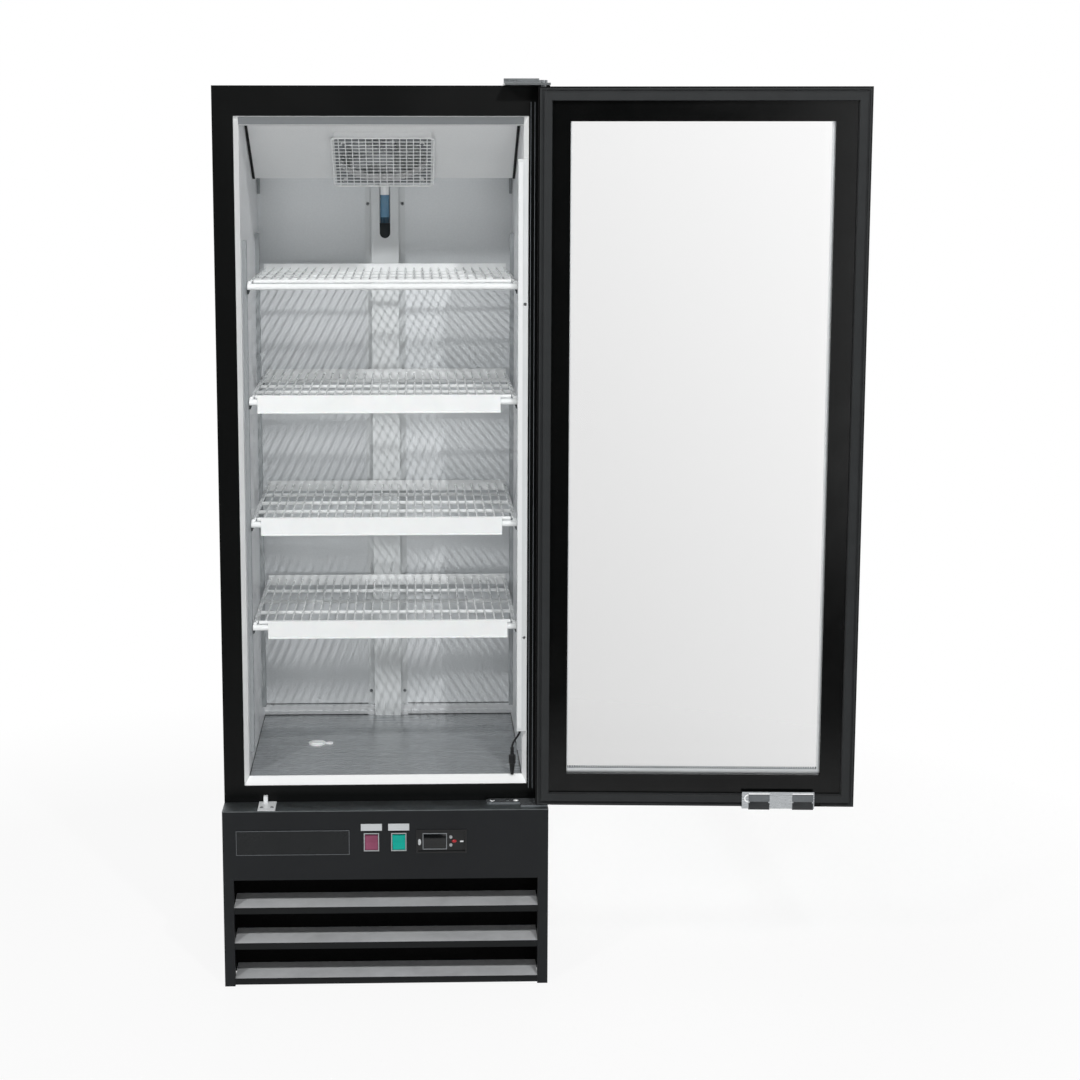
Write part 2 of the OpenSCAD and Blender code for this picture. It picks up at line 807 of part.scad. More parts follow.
module top_hinge() {
    z = cabinet_h;
    color("#c4c8ca") {
        block([hinge_in, pin_y - 14, z], [half_w - 2, face_y + 40, z + hinge_t]);
        block([hinge_in, face_y - 2, z], [pin_x - 6, face_y + 1, z + lip_rise]);
        rod_z([pin_x, pin_y, door_low + door_h - pin_reach], pin_d, z + hinge_t - door_low - door_h
            + pin_reach);
        rod_z([pin_x, pin_y, z + hinge_t], pin_d + 6, 5);
    }
}

module bottom_hinge() {
    z = base_h;
    color("#3b3d40") {
        block([half_w - 53, pin_y - 16, z], [half_w - 2, face_y - 3, z + hinge_t]);
        block([arm_x, arm_y - arm_w / 2, z], [half_w - 52, arm_y + arm_w / 2, z + hinge_t]);
        rod_z([arm_x, arm_y, z], arm_w, hinge_t);
        rod_z([pin_x, pin_y, z], pin_d, door_lift + pin_reach);
        rod_z([pin_x, pin_y, z], bush_d + 2, door_lift - near / 2);
    }
}

module lock_strike() {
    y = door_y + bolt_at[0];
    x = door_x + strike_at;
    z = base_h;
    color("#eceeee") difference() {
        union() {
            block([x - 9, front_y + 4, z], [x + strike_w + 17, y + 6, z + strike_t]);
            block([x, y - strike_half, z], [x + strike_w, y + strike_half, z + strike_h]);
        }
        rod_x([x - past, y, door_low + bolt_at[1]], bolt_d + 1.5, strike_w + 2 * past);
    }
}

// Base and cooling unit

module base_deck() {
    color("#1b1d1e") difference() {
        block([-half_w, front_y, base_h - base_t], [half_w, back_y, base_h]);
        rod_z([drain_x, drain_y, base_h - base_t - past], drain_d, base_t + 2 * past);
    }
}

// each side panel has a square post formed at its front and back edges
module base_sides() {
    top = base_h - base_t;
    color("#1d1f20") both_sides() difference() {
        union() {
            block([half_w - base_t, front_y, 0], [half_w, back_y, top]);
            for (y = [front_y, back_y - post_w]) block([half_w - post_w, y, 0],
                [half_w, y + post_w, top]);
        }
        for (y = [front_y, back_y - post_w]) {
            block([half_w - post_w + base_t, y + base_t, foot_t],
                [half_w - base_t, y + post_w - base_t, top + past]);
            rod_z([half_w - post_w / 2, y + post_w / 2, -past], foot_hole_d, foot_t + 2 * past);
        }
    }
}

module base_pan() {
    x = half_w - base_t;
    color("#55595b") block([-x, front_y + louver_d + 6, pan_z], [x, back_y - post_w, pan_z + base_t]);
}

module base_panel() {
    x = half_w - post_w;
    color("#1f2122") difference() {
        block([-x, front_y, base_h - base_t - panel_h], [x, front_y + base_t, base_h - base_t]);
        for (c = rocker_x) panel_hole([c, rocker_z], rocker_w, rocker_h);
        panel_hole([controller_x, rocker_z], controller_w - controller_lip,
            controller_h - controller_lip);
    }
}

// a hole in the front panel for the body of a housing
module panel_hole(at, w, h) {
    half = [w / 2 + housing_wall / 2 + fit, h / 2 + housing_wall / 2 + fit];
    block([at[0] - half[0], front_y - past, at[1] - half[1]],
        [at[0] + half[0], front_y + base_t + past, at[1] + half[1]]);
}

// flat blades that rise a little to the back, each with a lip in front
module louver_blades() {
    x = half_w - post_w;
    y = front_y + 1;
    pitch = (base_h - base_t - panel_h) / louver_n;
    color("#232527") for (k = [0 : louver_n - 1]) {
        z = 3 + k * pitch;
        translate([-x, 0, 0]) rotate([90, 0, 90]) linear_extrude(2 * x) polygon([
            [y, z], [y + base_t, z], [y + base_t, z + louver_lip - base_t],
            [y + louver_d, z + louver_lip + louver_rise - base_t],
            [y + louver_d, z + louver_lip + louver_rise], [y, z + louver_lip]]);
    }
}

// the bare name plate and the two bare labels over the switches
module label_plates() {
    color("#8d9194") block([plate_x, front_y - label_t, plate_z], [plate_x + plate_w, front_y,
        plate_z + plate_h]);
    color("#8d9194") for (c = rocker_x) block([c - label_w / 2, front_y - label_t, label_z],
        [c + label_w / 2, front_y, label_z + label_h]);
}

// a rectangular frame on the front panel, with a body behind it and a well sunk from the front
module housing(at, w, h, well, depth) {
    in = [w / 2, h / 2];
    body = in + [housing_wall / 2, housing_wall / 2];
    rim = body + [housing_rim, housing_rim];
    difference() {
        union() {
            block([at[0] - rim[0], front_y - bezel_out, at[1] - rim[1]],
                [at[0] + rim[0], front_y - fit, at[1] + rim[1]]);
            block([at[0] - body[0], front_y - bezel_out, at[1] - body[1]],
                [at[0] + body[0], front_y + depth, at[1] + body[1]]);
        }
        block([at[0] - in[0], front_y - bezel_out - past, at[1] - in[1]],
            [at[0] + in[0], front_y + well, at[1] + in[1]]);
    }
}

module control_housings() {
    color("#17191a") {
        for (c = rocker_x) difference() {
            housing([c, rocker_z], rocker_w, rocker_h, rocker_well, rocker_body);
            rod_x([c - rocker_w, front_y + rocker_pivot, rocker_z], rocker_pin_d + 2 * pin_gap,
                2 * rocker_w);
        }
        difference() {
            housing([controller_x, rocker_z], controller_w - controller_lip,
                controller_h - controller_lip, display_well, display_body);
            for (z = button_z) rod_y([button_x, front_y, z], button_d + 2 * pin_gap, button_deep);
        }
    }
}

// a rocker with two faces at an angle, pivoted in its housing, turned to the on position
module rocker(c) {
    w = rocker_w / 2 - near;
    h = rocker_h / 2 - 1.6;
    translate([0, front_y + rocker_pivot, rocker_z]) rotate([rocker_swing / 2, 0, 0])
        translate([c - w, 0, 0]) rotate([90, 0, 90]) linear_extrude(2 * w) polygon([
            [-rocker_pivot - 0.5, 0], [-rocker_pivot - 0.5 - h * tan(rocker_swing / 2), h],
            [-2, h], [3, h / 2], [3, -h / 2], [-2, -h],
            [-rocker_pivot - 0.5 - h * tan(rocker_swing / 2), -h]]);
    rod_x([c - rocker_w / 2 - housing_wall / 3, front_y + rocker_pivot, rocker_z], rocker_pin_d,
        rocker_w + housing_wall / 1.5);
}
module power_switch() color("#8f2433") rocker(rocker_x[0]);
module light_switch() color("#1e5f58") rocker(rocker_x[1]);

module controller_button(z) {
    color("#8a8e91") rod_y([button_x, front_y - button_travel - 0.4, z], button_d,
        button_deep);
}
module up_button() controller_button(button_z[1]);
module down_button() controller_button(button_z[0]);

// a welded shell with a rounded top, on three feet
module compressor() {
    z = pan_z + base_t;
    r = compressor_d / 2;
    color("#2a2c2e") translate([compressor_at[0], compressor_at[1], 0]) {
        rod_z([0, 0, z + feet_h], compressor_d, compressor_h);
        translate([0, 0, z + feet_h + compressor_h]) rotate_extrude() intersection() {
            square([r, r]);
            translate([0, -r * 0.75]) circle(r = r * 1.25);
        }
        for (a = [90, 210, 330]) rotate([0, 0, a]) {
            block([r - 20, -foot_half, z + feet_h - foot_plate_t / 2],
                [r + foot_reach, foot_half, z + feet_h + foot_plate_t / 2]);
            rod_z([r + foot_reach - rubber_d / 2, 0, z], rubber_d, feet_h - 2);
        }
        block([-r - terminal_out, -terminal_half, z + terminal_low],
            [-r + 12, terminal_half, z + terminal_low + terminal_h]);
        for (p = [[discharge_at, discharge_d], [suction_at, suction_d]]) rod_z([p[0][0], p[0][1],
            z + feet_h + compressor_h], p[1], stub_h);
    }
}

// fins and tubes in a steel frame, with the shroud of the condenser fan behind
module condenser_coil() {
    x = [condenser_at[0] - condenser_w / 2, condenser_at[0] + condenser_w / 2];
    z = [pan_z + base_t, condenser_at[1] + condenser_w / 2];
    y = [condenser_y, condenser_y + condenser_t, condenser_y + condenser_t + shroud_run];
    color("#3d4042") {
        block([x[0], y[0], z[0] + row_d], [x[1], y[1], z[1] - 2 * side_plate_t]);
        for (e = [x[0] - side_plate_t, x[1]])
            block([e, y[0] - side_plate_t, z[0]], [e + side_plate_t, y[2], z[1]]);
        for (k = [0 : rows - 1]) rod_x([x[0] - row_over, y[0] + condenser_t / 2,
            z[0] + row_first + k * row_step], row_d, condenser_w + 2 * row_over);
        difference() {
            block([x[0], y[2] - base_t, z[0]], [x[1], y[2], z[1]]);
            rod_y([condenser_at[0], y[2] - base_t - past, condenser_at[1]],
                condenser_fan_d + shroud_ring, base_t + 2 * past);
        }
        block([x[0], y[1] - base_t, z[1] - base_t], [x[1], y[2], z[1]]);
        block([x[0], y[1] - base_t, z[0]], [x[1], y[2], z[0] + base_t]);
    }
}

module on_condenser_fan() {
    translate([condenser_at[0], condenser_y + condenser_t + shroud_run + condenser_fan_out,
        condenser_at[1]]) rotate([-90, 0, 0]) children();
}

module condenser_fan() {
    color("#2b2d2f") on_condenser_fan() {
        difference() {
            rod_z([0, 0, -fan_depth / 2], fan_hub_d, fan_depth);
            rod_z([0, 0, -fan_depth / 2 + 3], shaft_d + 2 * pin_gap, fan_depth);
        }
        fan_blades(condenser_fan_d / 2, fan_hub_d / 2, 4, fan_depth - 2);
    }
}

// discharge, liquid and suction lines, with the filter drier in the liquid line
module refrigerant_lines() {
    out = compressor_at + discharge_at;
    back = compressor_at + suction_at;
    top = pan_z + base_t + feet_h + compressor_h;
    deck = base_h - base_t;
    tube_y = condenser_y + condenser_t / 2;
    right = condenser_at[0] + condenser_w / 2 + row_over;
    low = pan_z + base_t + row_first;
    high = low + (rows - 1) * row_step;
    turn = right + line_gap;
    drier_at = [right + line_gap + 10, tube_y + drier_len];
    color("#b06a3c") {
        bent_tube([[out[0], out[1], top + stub_h], [out[0], out[1], top + 1.5 * stub_h],
            [turn, tube_y, top + 1.5 * stub_h], [turn, tube_y, high], [right, tube_y, high]],
            discharge_d);
        bent_tube([[right, tube_y, low], [drier_at[0], tube_y, low],
            [drier_at[0], drier_at[1], low], [drier_at[0], drier_at[1], low + line_gap]], discharge_d);
        rod_z([drier_at[0], drier_at[1], low + line_gap - 2], drier_d, drier_len);
        bent_tube([[drier_at[0], drier_at[1], low + line_gap + drier_len - 4],
            [drier_at[0], drier_at[1], deck]], discharge_d);
        bent_tube([[back[0], back[1], top + stub_h], [back[0], back[1], top + 2 * stub_h],
            [back[0], back[1] + 2 * line_gap, deck - drier_d],
            [back[0], back[1] + 2 * line_gap, deck]], suction_d);
    }
}

// the pan that catches drained water under the cabinet drain
module drip_tray() {
    z = pan_z + base_t;
    color("#35383a") difference() {
        block([tray_low[0], tray_low[1], z], [tray_high[0], tray_high[1], z + tray_h]);
        block([tray_low[0] + 2, tray_low[1] + 2, z + 2], [tray_high[0] - 2, tray_high[1] - 2,
            z + tray_h + past]);
    }
}

// slotted sheet over the back of the base, with the cable gland
module rear_grille() {
    x = half_w - post_w;
    step = x * 0.61;
    color("#2a2c2e") {
        difference() {
            block([-x, back_y - base_t, pan_z], [x, back_y, base_h - base_t]);
            for (c = [-1, 0, 1]) for (k = [0 : 7])
                block([(c - 0.42) * step, back_y - base_t - past, grille_low + k * grille_pitch],
                    [(c + 0.42) * step, back_y + past, grille_low + k * grille_pitch + grille_slot]);
            rod_y([gland_x, back_y - base_t - past, gland_z], gland_bore, base_t + 2 * past);
        }
        difference() {
            rod_y([gland_x, back_y - gland_len + gland_out, gland_z], gland_bore + 10, gland_len);
            rod_y([gland_x, back_y - gland_len, gland_z], gland_bore, 2 * gland_len);
        }
    }
}

// Door, drawn closed from its lower free corner and then turned open

module door_frame() {
    band = gasket_band - fit;
    color("#141617") on_door() difference() {
        cube([door_w, door_t, door_h]);
        block([free_stile, -past, rail_h], [door_w - hinge_stile, door_t + past, door_h - rail_h]);
        block([glass_low[0] - fit, unit_y - fit, glass_low[1] - fit], [glass_high[0] + fit,
            door_t, glass_high[1] + fit]);
        block([band, door_t - bezel_t, band], [door_w - band, door_t + past, door_h - band]);
        for (z = [-past, door_h - bush_len - fit]) rod_z([pin_local[0], pin_local[1], z], bush_d,
            bush_len + fit + past);
        rod_y([cylinder_at[0], -past, cylinder_at[1]], cylinder_d + 2 * fit, cylinder_len + past);
    }
}

module door_bezel() {
    color("#0d0f10") on_door() door_ring([gasket_band, gasket_band],
        [door_w - gasket_band, door_h - gasket_band], [free_stile, rail_h],
        [door_w - hinge_stile, door_h - rail_h], door_t - bezel_t + fit, door_t);
}

module door_glass() {
    color("#dfe6e8", 0.4) on_door() for (y = [unit_y, unit_y + pane_t + pane_gap])
        block([glass_low[0], y, glass_low[1]], [glass_high[0], y + pane_t, glass_high[1]]);
}

module glass_spacer() {
    edge = [3, 3];
    color("#b9bec1") on_door() door_ring(glass_low + edge, glass_high - edge,
        [free_stile + spacer_show, rail_h + spacer_show_low],
        [door_w - hinge_stile - spacer_show / 2, door_h - rail_h + 3],
        unit_y + pane_t, unit_y + pane_t + pane_gap);
}

// a flange, a ridge near its edge and a hollow bulb for the magnet, notched for the lock strike
module door_gasket() {
    y = door_t;
    size = [door_w, door_h];
    color("#2d2e2f") on_door() difference() {
        union() {
            gasket_ring(gasket_inset, gasket_band, y, y + 3);
            gasket_ring(gasket_inset, gasket_inset + 3, y, y + 6);
            gasket_ring(gasket_band - 15, gasket_band - 1, y, y + gasket_t);
        }
        gasket_ring(gasket_band - 13, gasket_band - 3, y + 2, y + gasket_t - 1.5);
        block([strike_at - 4, y - past, 0], [lock_inset + lock_len + 2, y + gasket_t + past,
            gasket_band - 15.5]);
    }
}

module gasket_ring(outer, inner, y0, y1) {
    door_ring([outer, outer], [door_w - outer, door_h - outer], [inner, inner],
        [door_w - inner, door_h - inner], y0, y1);
}

// a bowed pull handle on two round posts, fixed to the outer face near the free edge
module door_handle() {
    x = free_stile / 2;
    bar_y = -handle_out + handle_d / 2;
    ends = [handle_z - handle_len / 2, handle_z + handle_len / 2];
    color("#1a1c1e") on_door() {
        rod_z([x, bar_y, ends[0]], handle_d, handle_len);
        for (z = ends) translate([x, bar_y, z]) sphere(d = handle_d);
        for (z = [ends[0] + post_inset, ends[1] - post_inset]) {
            rod_y([x, bar_y, z], post_d, -bar_y);
            rod_y([x, -rose_t, z], rose_d, rose_t);
        }
    }
}

// each bush lines a hinge hole of the door
module hinge_bushes() {
    color("#c9ccce") on_door() for (z = [0, door_h - bush_len]) difference() {
        rod_z([pin_local[0], pin_local[1], z], bush_d - 2 * fit, bush_len);
        rod_z([pin_local[0], pin_local[1], z - past], pin_d + 2 * pin_gap, bush_len + 2 * past);
    }
}

// a thin plate over the gasket, folded under the door, with two guides for the bolt
module lock_plate() {
    y = door_t + gasket_t;
    x = [lock_inset, lock_inset + lock_len];
    color("#c3c7c9") on_door() difference() {
        union() {
            block([x[0], y, -lock_t], [x[1], y + lock_t, lock_h - lock_t]);
            block([x[0], door_t - 14, -lock_t], [x[1], y + lock_t, 0]);
            for (g = guide_x) block([g, y - 4, guide_low], [g + guide_w, y + lock_t,
                gasket_band - 16]);
            for (g = guide_x) block([g, door_t + near, guide_low], [g + guide_w, y + lock_t, 2.6]);
        }
        rod_x([x[0] - past, bolt_at[0], bolt_at[1]], bolt_d + 2 * pin_gap, lock_len + 2 * past);
    }
}
module lock_bolt() {
    color("#d9dcdd") on_door() rod_x([lock_inset + 1.5, bolt_at[0], bolt_at[1]], bolt_d,
        lock_len - 20);
}

// the key cylinder in the outer face of the bottom rail, with a slot for the key
module lock_cylinder() {
    color("#b4b8ba") on_door() difference() {
        union() {
            rod_y([cylinder_at[0], -1, cylinder_at[1]], cylinder_d - 2 * fit, cylinder_len + 1 - near);
            rod_y([cylinder_at[0], -2 - fit, cylinder_at[1]], cylinder_d + 4, 2);
        }
        block([cylinder_at[0] - 0.8, -2 - past, cylinder_at[1] - 4.5], [cylinder_at[0] + 0.8, 12,
            cylinder_at[1] + 4.5]);
    }
}

// Screws

module screw(d, h) {
    cylinder(d = d, h = h * 0.4);
    translate([0, 0, h * 0.4]) cylinder(d1 = d, d2 = d * 0.6, h = h * 0.6);
}

module cabinet_screws() {
    color("#9aa0a3") {
        for (k = [0 : 3]) for (x = [-duct_screw_x, duct_screw_x])
            translate([x, wall_y - duct_t, duct_screw_z + k * duct_screw_step])
                rotate([90, 0, 0]) screw(7, 2.5);
        on_cover() for (x = [-eye_x, eye_x]) for (y = [-eye_x, eye_x])
            translate([x, y, -guard_out - eye_t]) rotate([180, 0, 0]) screw(7, 2.5);
        for (z = light_screw_z) translate([open_x - 6, face_y + 2, z]) rotate([90, 0, 0]) screw(6, 1.5);
        for (x = [hinge_in + 14, hinge_in + 38, hinge_in + 62])
            translate([x, face_y + 22, cabinet_h + hinge_t]) screw(12, 4);
        for (x = [arm_x, arm_x + 30]) translate([x, arm_y, base_h + hinge_t]) screw(9, 1.6);
        for (x = [-2, strike_w + 10]) translate([door_x + strike_at + x, front_y + 20,
            base_h + strike_t]) screw(7, 1.6);
    }
}

outer_sides();
outer_top();
outer_back();
insulation();
face_frame();
breaker_strips();
liner_sides();
liner_back();
liner_top();
floor_pan();
back_duct();
shelf_standards();
shelf_clips();
shelf_1();
shelf_2();
shelf_3();
shelf_4();
price_strips();
light_bar();
light_lens();
light_lead();
evaporator_cover();
fan_guard();
cabinet_screws();
fan_motors();
evaporator_coil();
drain_tube();
drain_plug();
baseboards();
top_hinge();
bottom_hinge();
lock_strike();
base_deck();
base_pan();
base_sides();
base_panel();
louver_blades();
label_plates();
control_housings();
compressor();
condenser_coil();
refrigerant_lines();
drip_tray();
rear_grille();
evaporator_fan();
condenser_fan();
power_switch();
light_switch();
up_button();
down_button();
door_frame();
door_bezel();
door_glass();
glass_spacer();
door_gasket();
door_handle();
hinge_bushes();
lock_plate();
lock_bolt();
lock_cylinder();
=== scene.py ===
import math

import bmesh
import bpy
from mathutils import Matrix, Vector


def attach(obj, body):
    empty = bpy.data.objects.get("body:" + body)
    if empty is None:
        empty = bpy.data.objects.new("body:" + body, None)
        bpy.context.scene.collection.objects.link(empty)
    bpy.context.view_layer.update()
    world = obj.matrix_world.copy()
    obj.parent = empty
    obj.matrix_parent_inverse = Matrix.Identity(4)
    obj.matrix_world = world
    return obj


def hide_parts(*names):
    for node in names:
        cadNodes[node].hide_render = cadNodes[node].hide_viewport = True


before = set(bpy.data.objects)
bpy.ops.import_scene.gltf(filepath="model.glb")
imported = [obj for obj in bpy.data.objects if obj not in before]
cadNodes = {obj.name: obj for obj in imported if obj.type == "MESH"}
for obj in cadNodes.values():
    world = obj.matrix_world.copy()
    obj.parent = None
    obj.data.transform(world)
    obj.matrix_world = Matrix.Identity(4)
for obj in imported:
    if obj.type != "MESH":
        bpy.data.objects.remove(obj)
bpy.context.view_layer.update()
print("frame loaded,", len(cadNodes), "nodes")


def mm(*numbers):
    return tuple(n / 1000 for n in numbers)


def toneOf(code):
    # a written colour as the renderer wants it
    parts = [int(code[k:k + 2], 16) / 255 for k in (1, 3, 5)]
    return tuple(p / 12.92 if p <= 0.04045 else ((p + 0.055) / 1.055) ** 2.4 for p in parts) + (1,)


def newObject(name, data):
    made = bpy.data.objects.new(name, data)
    bpy.context.scene.collection.objects.link(made)
    return made


# camera

viewPoint = {
    "place": (0.0548, -4.289, 1.6233),
    "turnRight": 1.7011,     # degrees
    "tiltDown": 9.0542,
    "lens": 71.4,
    "sensor": 36,
    "shift": (0.06, -0.05),
    "clip": (0.1, 100),
}


def setCamera(look):
    data = bpy.data.cameras.new("viewCamera")
    data.lens, data.sensor_width = look["lens"], look["sensor"]
    data.shift_x, data.shift_y = look["shift"]
    data.clip_start, data.clip_end = look["clip"]
    camera = newObject("viewCamera", data)
    camera.location = look["place"]
    camera.rotation_euler = (math.radians(90 - look["tiltDown"]), 0, -math.radians(look["turnRight"]))
    bpy.context.scene.camera = camera


setCamera(viewPoint)
bpy.context.scene.view_settings.view_transform = "Standard"
print("camera set")


# shader groups

def newGroup(name, inputs, outputs):
    tree = bpy.data.node_groups.new(name, "ShaderNodeTree")
    for label, kind, value in inputs:
        socket = tree.interface.new_socket(label, in_out="INPUT", socket_type="NodeSocket" + kind)
        socket.default_value = value
    for label, kind in outputs:
        tree.interface.new_socket(label, in_out="OUTPUT", socket_type="NodeSocket" + kind)
    return tree, tree.nodes.new("NodeGroupInput"), tree.nodes.new("NodeGroupOutput")


def addNode(tree, kind, settings=None, values=None):
    node = tree.nodes.new(kind)
    for key, value in (settings or {}).items():
        setattr(node, key, value)
    for key, value in (values or {}).items():
        node.inputs[key].default_value = value
    return node


def addMath(tree, operation, first, second=None, third=None, clamp=False):
    node = addNode(tree, "ShaderNodeMath", {"operation": operation, "use_clamp": clamp})
    for k, part in enumerate((first, second, third)):
        if part is None:
            continue
        if isinstance(part, (int, float)):
            node.inputs[k].default_value = part
        else:
            tree.links.new(part, node.inputs[k])
    return node.outputs[0]


def addNoise(tree, vector, scale, detail=3.0, roughness=0.55, distortion=0.0):
    node = addNode(tree, "ShaderNodeTexNoise", {"noise_dimensions": "3D"},
                   {"Detail": detail, "Roughness": roughness, "Distortion": distortion})
    tree.links.new(vector, node.inputs["Vector"])
    if isinstance(scale, (int, float)):
        node.inputs["Scale"].default_value = scale
    else:
        tree.links.new(scale, node.inputs["Scale"])
    return node.outputs["Fac"]


def addRange(tree, value, low, high, toLow, toHigh):
    node = addNode(tree, "ShaderNodeMapRange", {"clamp": True})
    tree.links.new(value, node.inputs["Value"])
    for label, part in (("From Min", low), ("From Max", high), ("To Min", toLow), ("To Max", toHigh)):
        if isinstance(part, (int, float)):
            node.inputs[label].default_value = part
        else:
            tree.links.new(part, node.inputs[label])
    return node.outputs["Result"]


def addMix(tree, amount, first, second):
    node = addNode(tree, "ShaderNodeMix", {"data_type": "RGBA", "clamp_factor": True})
    for socket, part in ((node.inputs[0], amount), (node.inputs[6], first), (node.inputs[7], second)):
        if isinstance(part, (int, float, tuple)):
            socket.default_value = part
        else:
            tree.links.new(part, socket)
    return node.outputs[2]


def makeSurfaceTone():
    # soft patches and a fine grain, for paint, plastic and rubber
    tree, inside, outside = newGroup("surfaceTone", [
        ("Tone", "Color", (0.5, 0.5, 0.5, 1)), ("Shade", "Color", (0.3, 0.3, 0.3, 1)),
        ("Patches", "Float", 6.0), ("Grain", "Float", 900.0), ("Spread", "Float", 0.6),
        ("Smooth", "Float", 0.3), ("Rough", "Float", 0.5)],
        [("Color", "Color"), ("Roughness", "Float"), ("Height", "Float")])
    place = addNode(tree, "ShaderNodeTexCoord").outputs["Object"]
    patches = addNoise(tree, place, inside.outputs["Patches"], 4, 0.6, 0.4)
    grain = addNoise(tree, place, inside.outputs["Grain"], 2, 0.5)
    soft = addRange(tree, patches, 0.32, 0.7, 0.0, 1.0)
    fine = addRange(tree, grain, 0.25, 0.75, 0.0, 1.0)
    both = addMath(tree, "MULTIPLY_ADD", fine, 0.35, addMath(tree, "MULTIPLY", soft, 0.65))
    amount = addMath(tree, "MULTIPLY", both, inside.outputs["Spread"], clamp=True)
    link = tree.links.new
    link(addMix(tree, amount, inside.outputs["Tone"], inside.outputs["Shade"]), outside.inputs["Color"])
    link(addRange(tree, both, 0.1, 0.9, inside.outputs["Smooth"], inside.outputs["Rough"]),
         outside.inputs["Roughness"])
    link(fine, outside.inputs["Height"])
    return tree


def makeBrushedTone():
    # long fine streaks, for rolled and brushed metal
    tree, inside, outside = newGroup("brushedTone", [
        ("Tone", "Color", (0.6, 0.6, 0.6, 1)), ("Shade", "Color", (0.4, 0.4, 0.4, 1)),
        ("Along", "Vector", (10.0, 900.0, 900.0)), ("Cloud", "Float", 5.0),
        ("Smooth", "Float", 0.25), ("Rough", "Float", 0.45)],
        [("Color", "Color"), ("Roughness", "Float"), ("Height", "Float")])
    place = addNode(tree, "ShaderNodeTexCoord").outputs["Object"]
    stretch = addNode(tree, "ShaderNodeVectorMath", {"operation": "MULTIPLY"})
    tree.links.new(place, stretch.inputs[0])
    tree.links.new(inside.outputs["Along"], stretch.inputs[1])
    streaks = addNoise(tree, stretch.outputs[0], 1.0, 3, 0.6)
    cloud = addNoise(tree, place, inside.outputs["Cloud"], 3, 0.55, 0.3)
    lines = addRange(tree, streaks, 0.28, 0.72, 0.0, 1.0)
    both = addMath(tree, "MULTIPLY_ADD", lines, 0.55, addMath(tree, "MULTIPLY", cloud, 0.5))
    link = tree.links.new
    link(addMix(tree, both, inside.outputs["Tone"], inside.outputs["Shade"]), outside.inputs["Color"])
    link(addRange(tree, both, 0.15, 0.9, inside.outputs["Smooth"], inside.outputs["Rough"]),
         outside.inputs["Roughness"])
    link(lines, outside.inputs["Height"])
    return tree


def makeStippleTone():
    # the small raised pebbles of embossed sheet
    tree, inside, outside = newGroup("stippleTone", [
        ("Tone", "Color", (0.7, 0.7, 0.7, 1)), ("Shade", "Color", (0.6, 0.6, 0.6, 1)),
        ("Pebbles", "Float", 260.0), ("Cloud", "Float", 4.0),
        ("Smooth", "Float", 0.3), ("Rough", "Float", 0.5)],
        [("Color", "Color"), ("Roughness", "Float"), ("Height", "Float")])
    place = addNode(tree, "ShaderNodeTexCoord").outputs["Object"]
    cells = addNode(tree, "ShaderNodeTexVoronoi", {"feature": "SMOOTH_F1"}, {"Smoothness": 0.6})
    tree.links.new(place, cells.inputs["Vector"])
    tree.links.new(inside.outputs["Pebbles"], cells.inputs["Scale"])
    dome = addRange(tree, cells.outputs["Distance"], 0.1, 0.75, 1.0, 0.0)
    cloud = addRange(tree, addNoise(tree, place, inside.outputs["Cloud"], 3, 0.5), 0.3, 0.7, 0.0, 1.0)
    amount = addMath(tree, "MULTIPLY_ADD", cloud, 0.5, addMath(tree, "MULTIPLY", dome, 0.3))
    link = tree.links.new
    link(addMix(tree, amount, inside.outputs["Tone"], inside.outputs["Shade"]), outside.inputs["Color"])
    link(addRange(tree, amount, 0.0, 0.8, inside.outputs["Smooth"], inside.outputs["Rough"]),
         outside.inputs["Roughness"])
    link(dome, outside.inputs["Height"])
    return tree


def makeUpwardDustAndSheen():
    # pale dust and painted sheen where a surface faces up
    tree, inside, outside = newGroup("upwardDustAndSheen", [
        ("Tone", "Color", (0.1, 0.1, 0.1, 1)), ("DustAndSheen", "Color", (0.4, 0.4, 0.4, 1)),
        ("Amount", "Float", 0.3), ("Specks", "Float", 60.0)],
        [("Color", "Color"), ("Mask", "Float")])
    facing = addNode(tree, "ShaderNodeSeparateXYZ")
    tree.links.new(addNode(tree, "ShaderNodeNewGeometry").outputs["Normal"], facing.inputs[0])
    place = addNode(tree, "ShaderNodeTexCoord").outputs["Object"]
    specks = addRange(tree, addNoise(tree, place, inside.outputs["Specks"], 4, 0.7), 0.2, 0.75, 0.7, 1.0)
    upward = addRange(tree, facing.outputs["Z"], 0.3, 0.8, 0.0, 1.0)
    mask = addMath(tree, "MULTIPLY", upward, specks)
    amount = addMath(tree, "MULTIPLY", mask, inside.outputs["Amount"], clamp=True)
    tree.links.new(addMix(tree, amount, inside.outputs["Tone"], inside.outputs["DustAndSheen"]), outside.inputs["Color"])
    tree.links.new(mask, outside.inputs["Mask"])
    return tree


surfaceTone = makeSurfaceTone()
brushedTone = makeBrushedTone()
stippleTone = makeStippleTone()
upwardDustAndSheen = makeUpwardDustAndSheen()
print("shader groups built")


# finishes

def emptyMaterial(name):
    material = bpy.data.materials.new(name)
    material.use_nodes = True
    material.node_tree.nodes.clear()
    return material, material.node_tree


def placeGroup(tree, group, values):
    node = tree.nodes.new("ShaderNodeGroup")
    node.node_tree = group
    for key, value in values.items():
        node.inputs[key].default_value = value
    return node


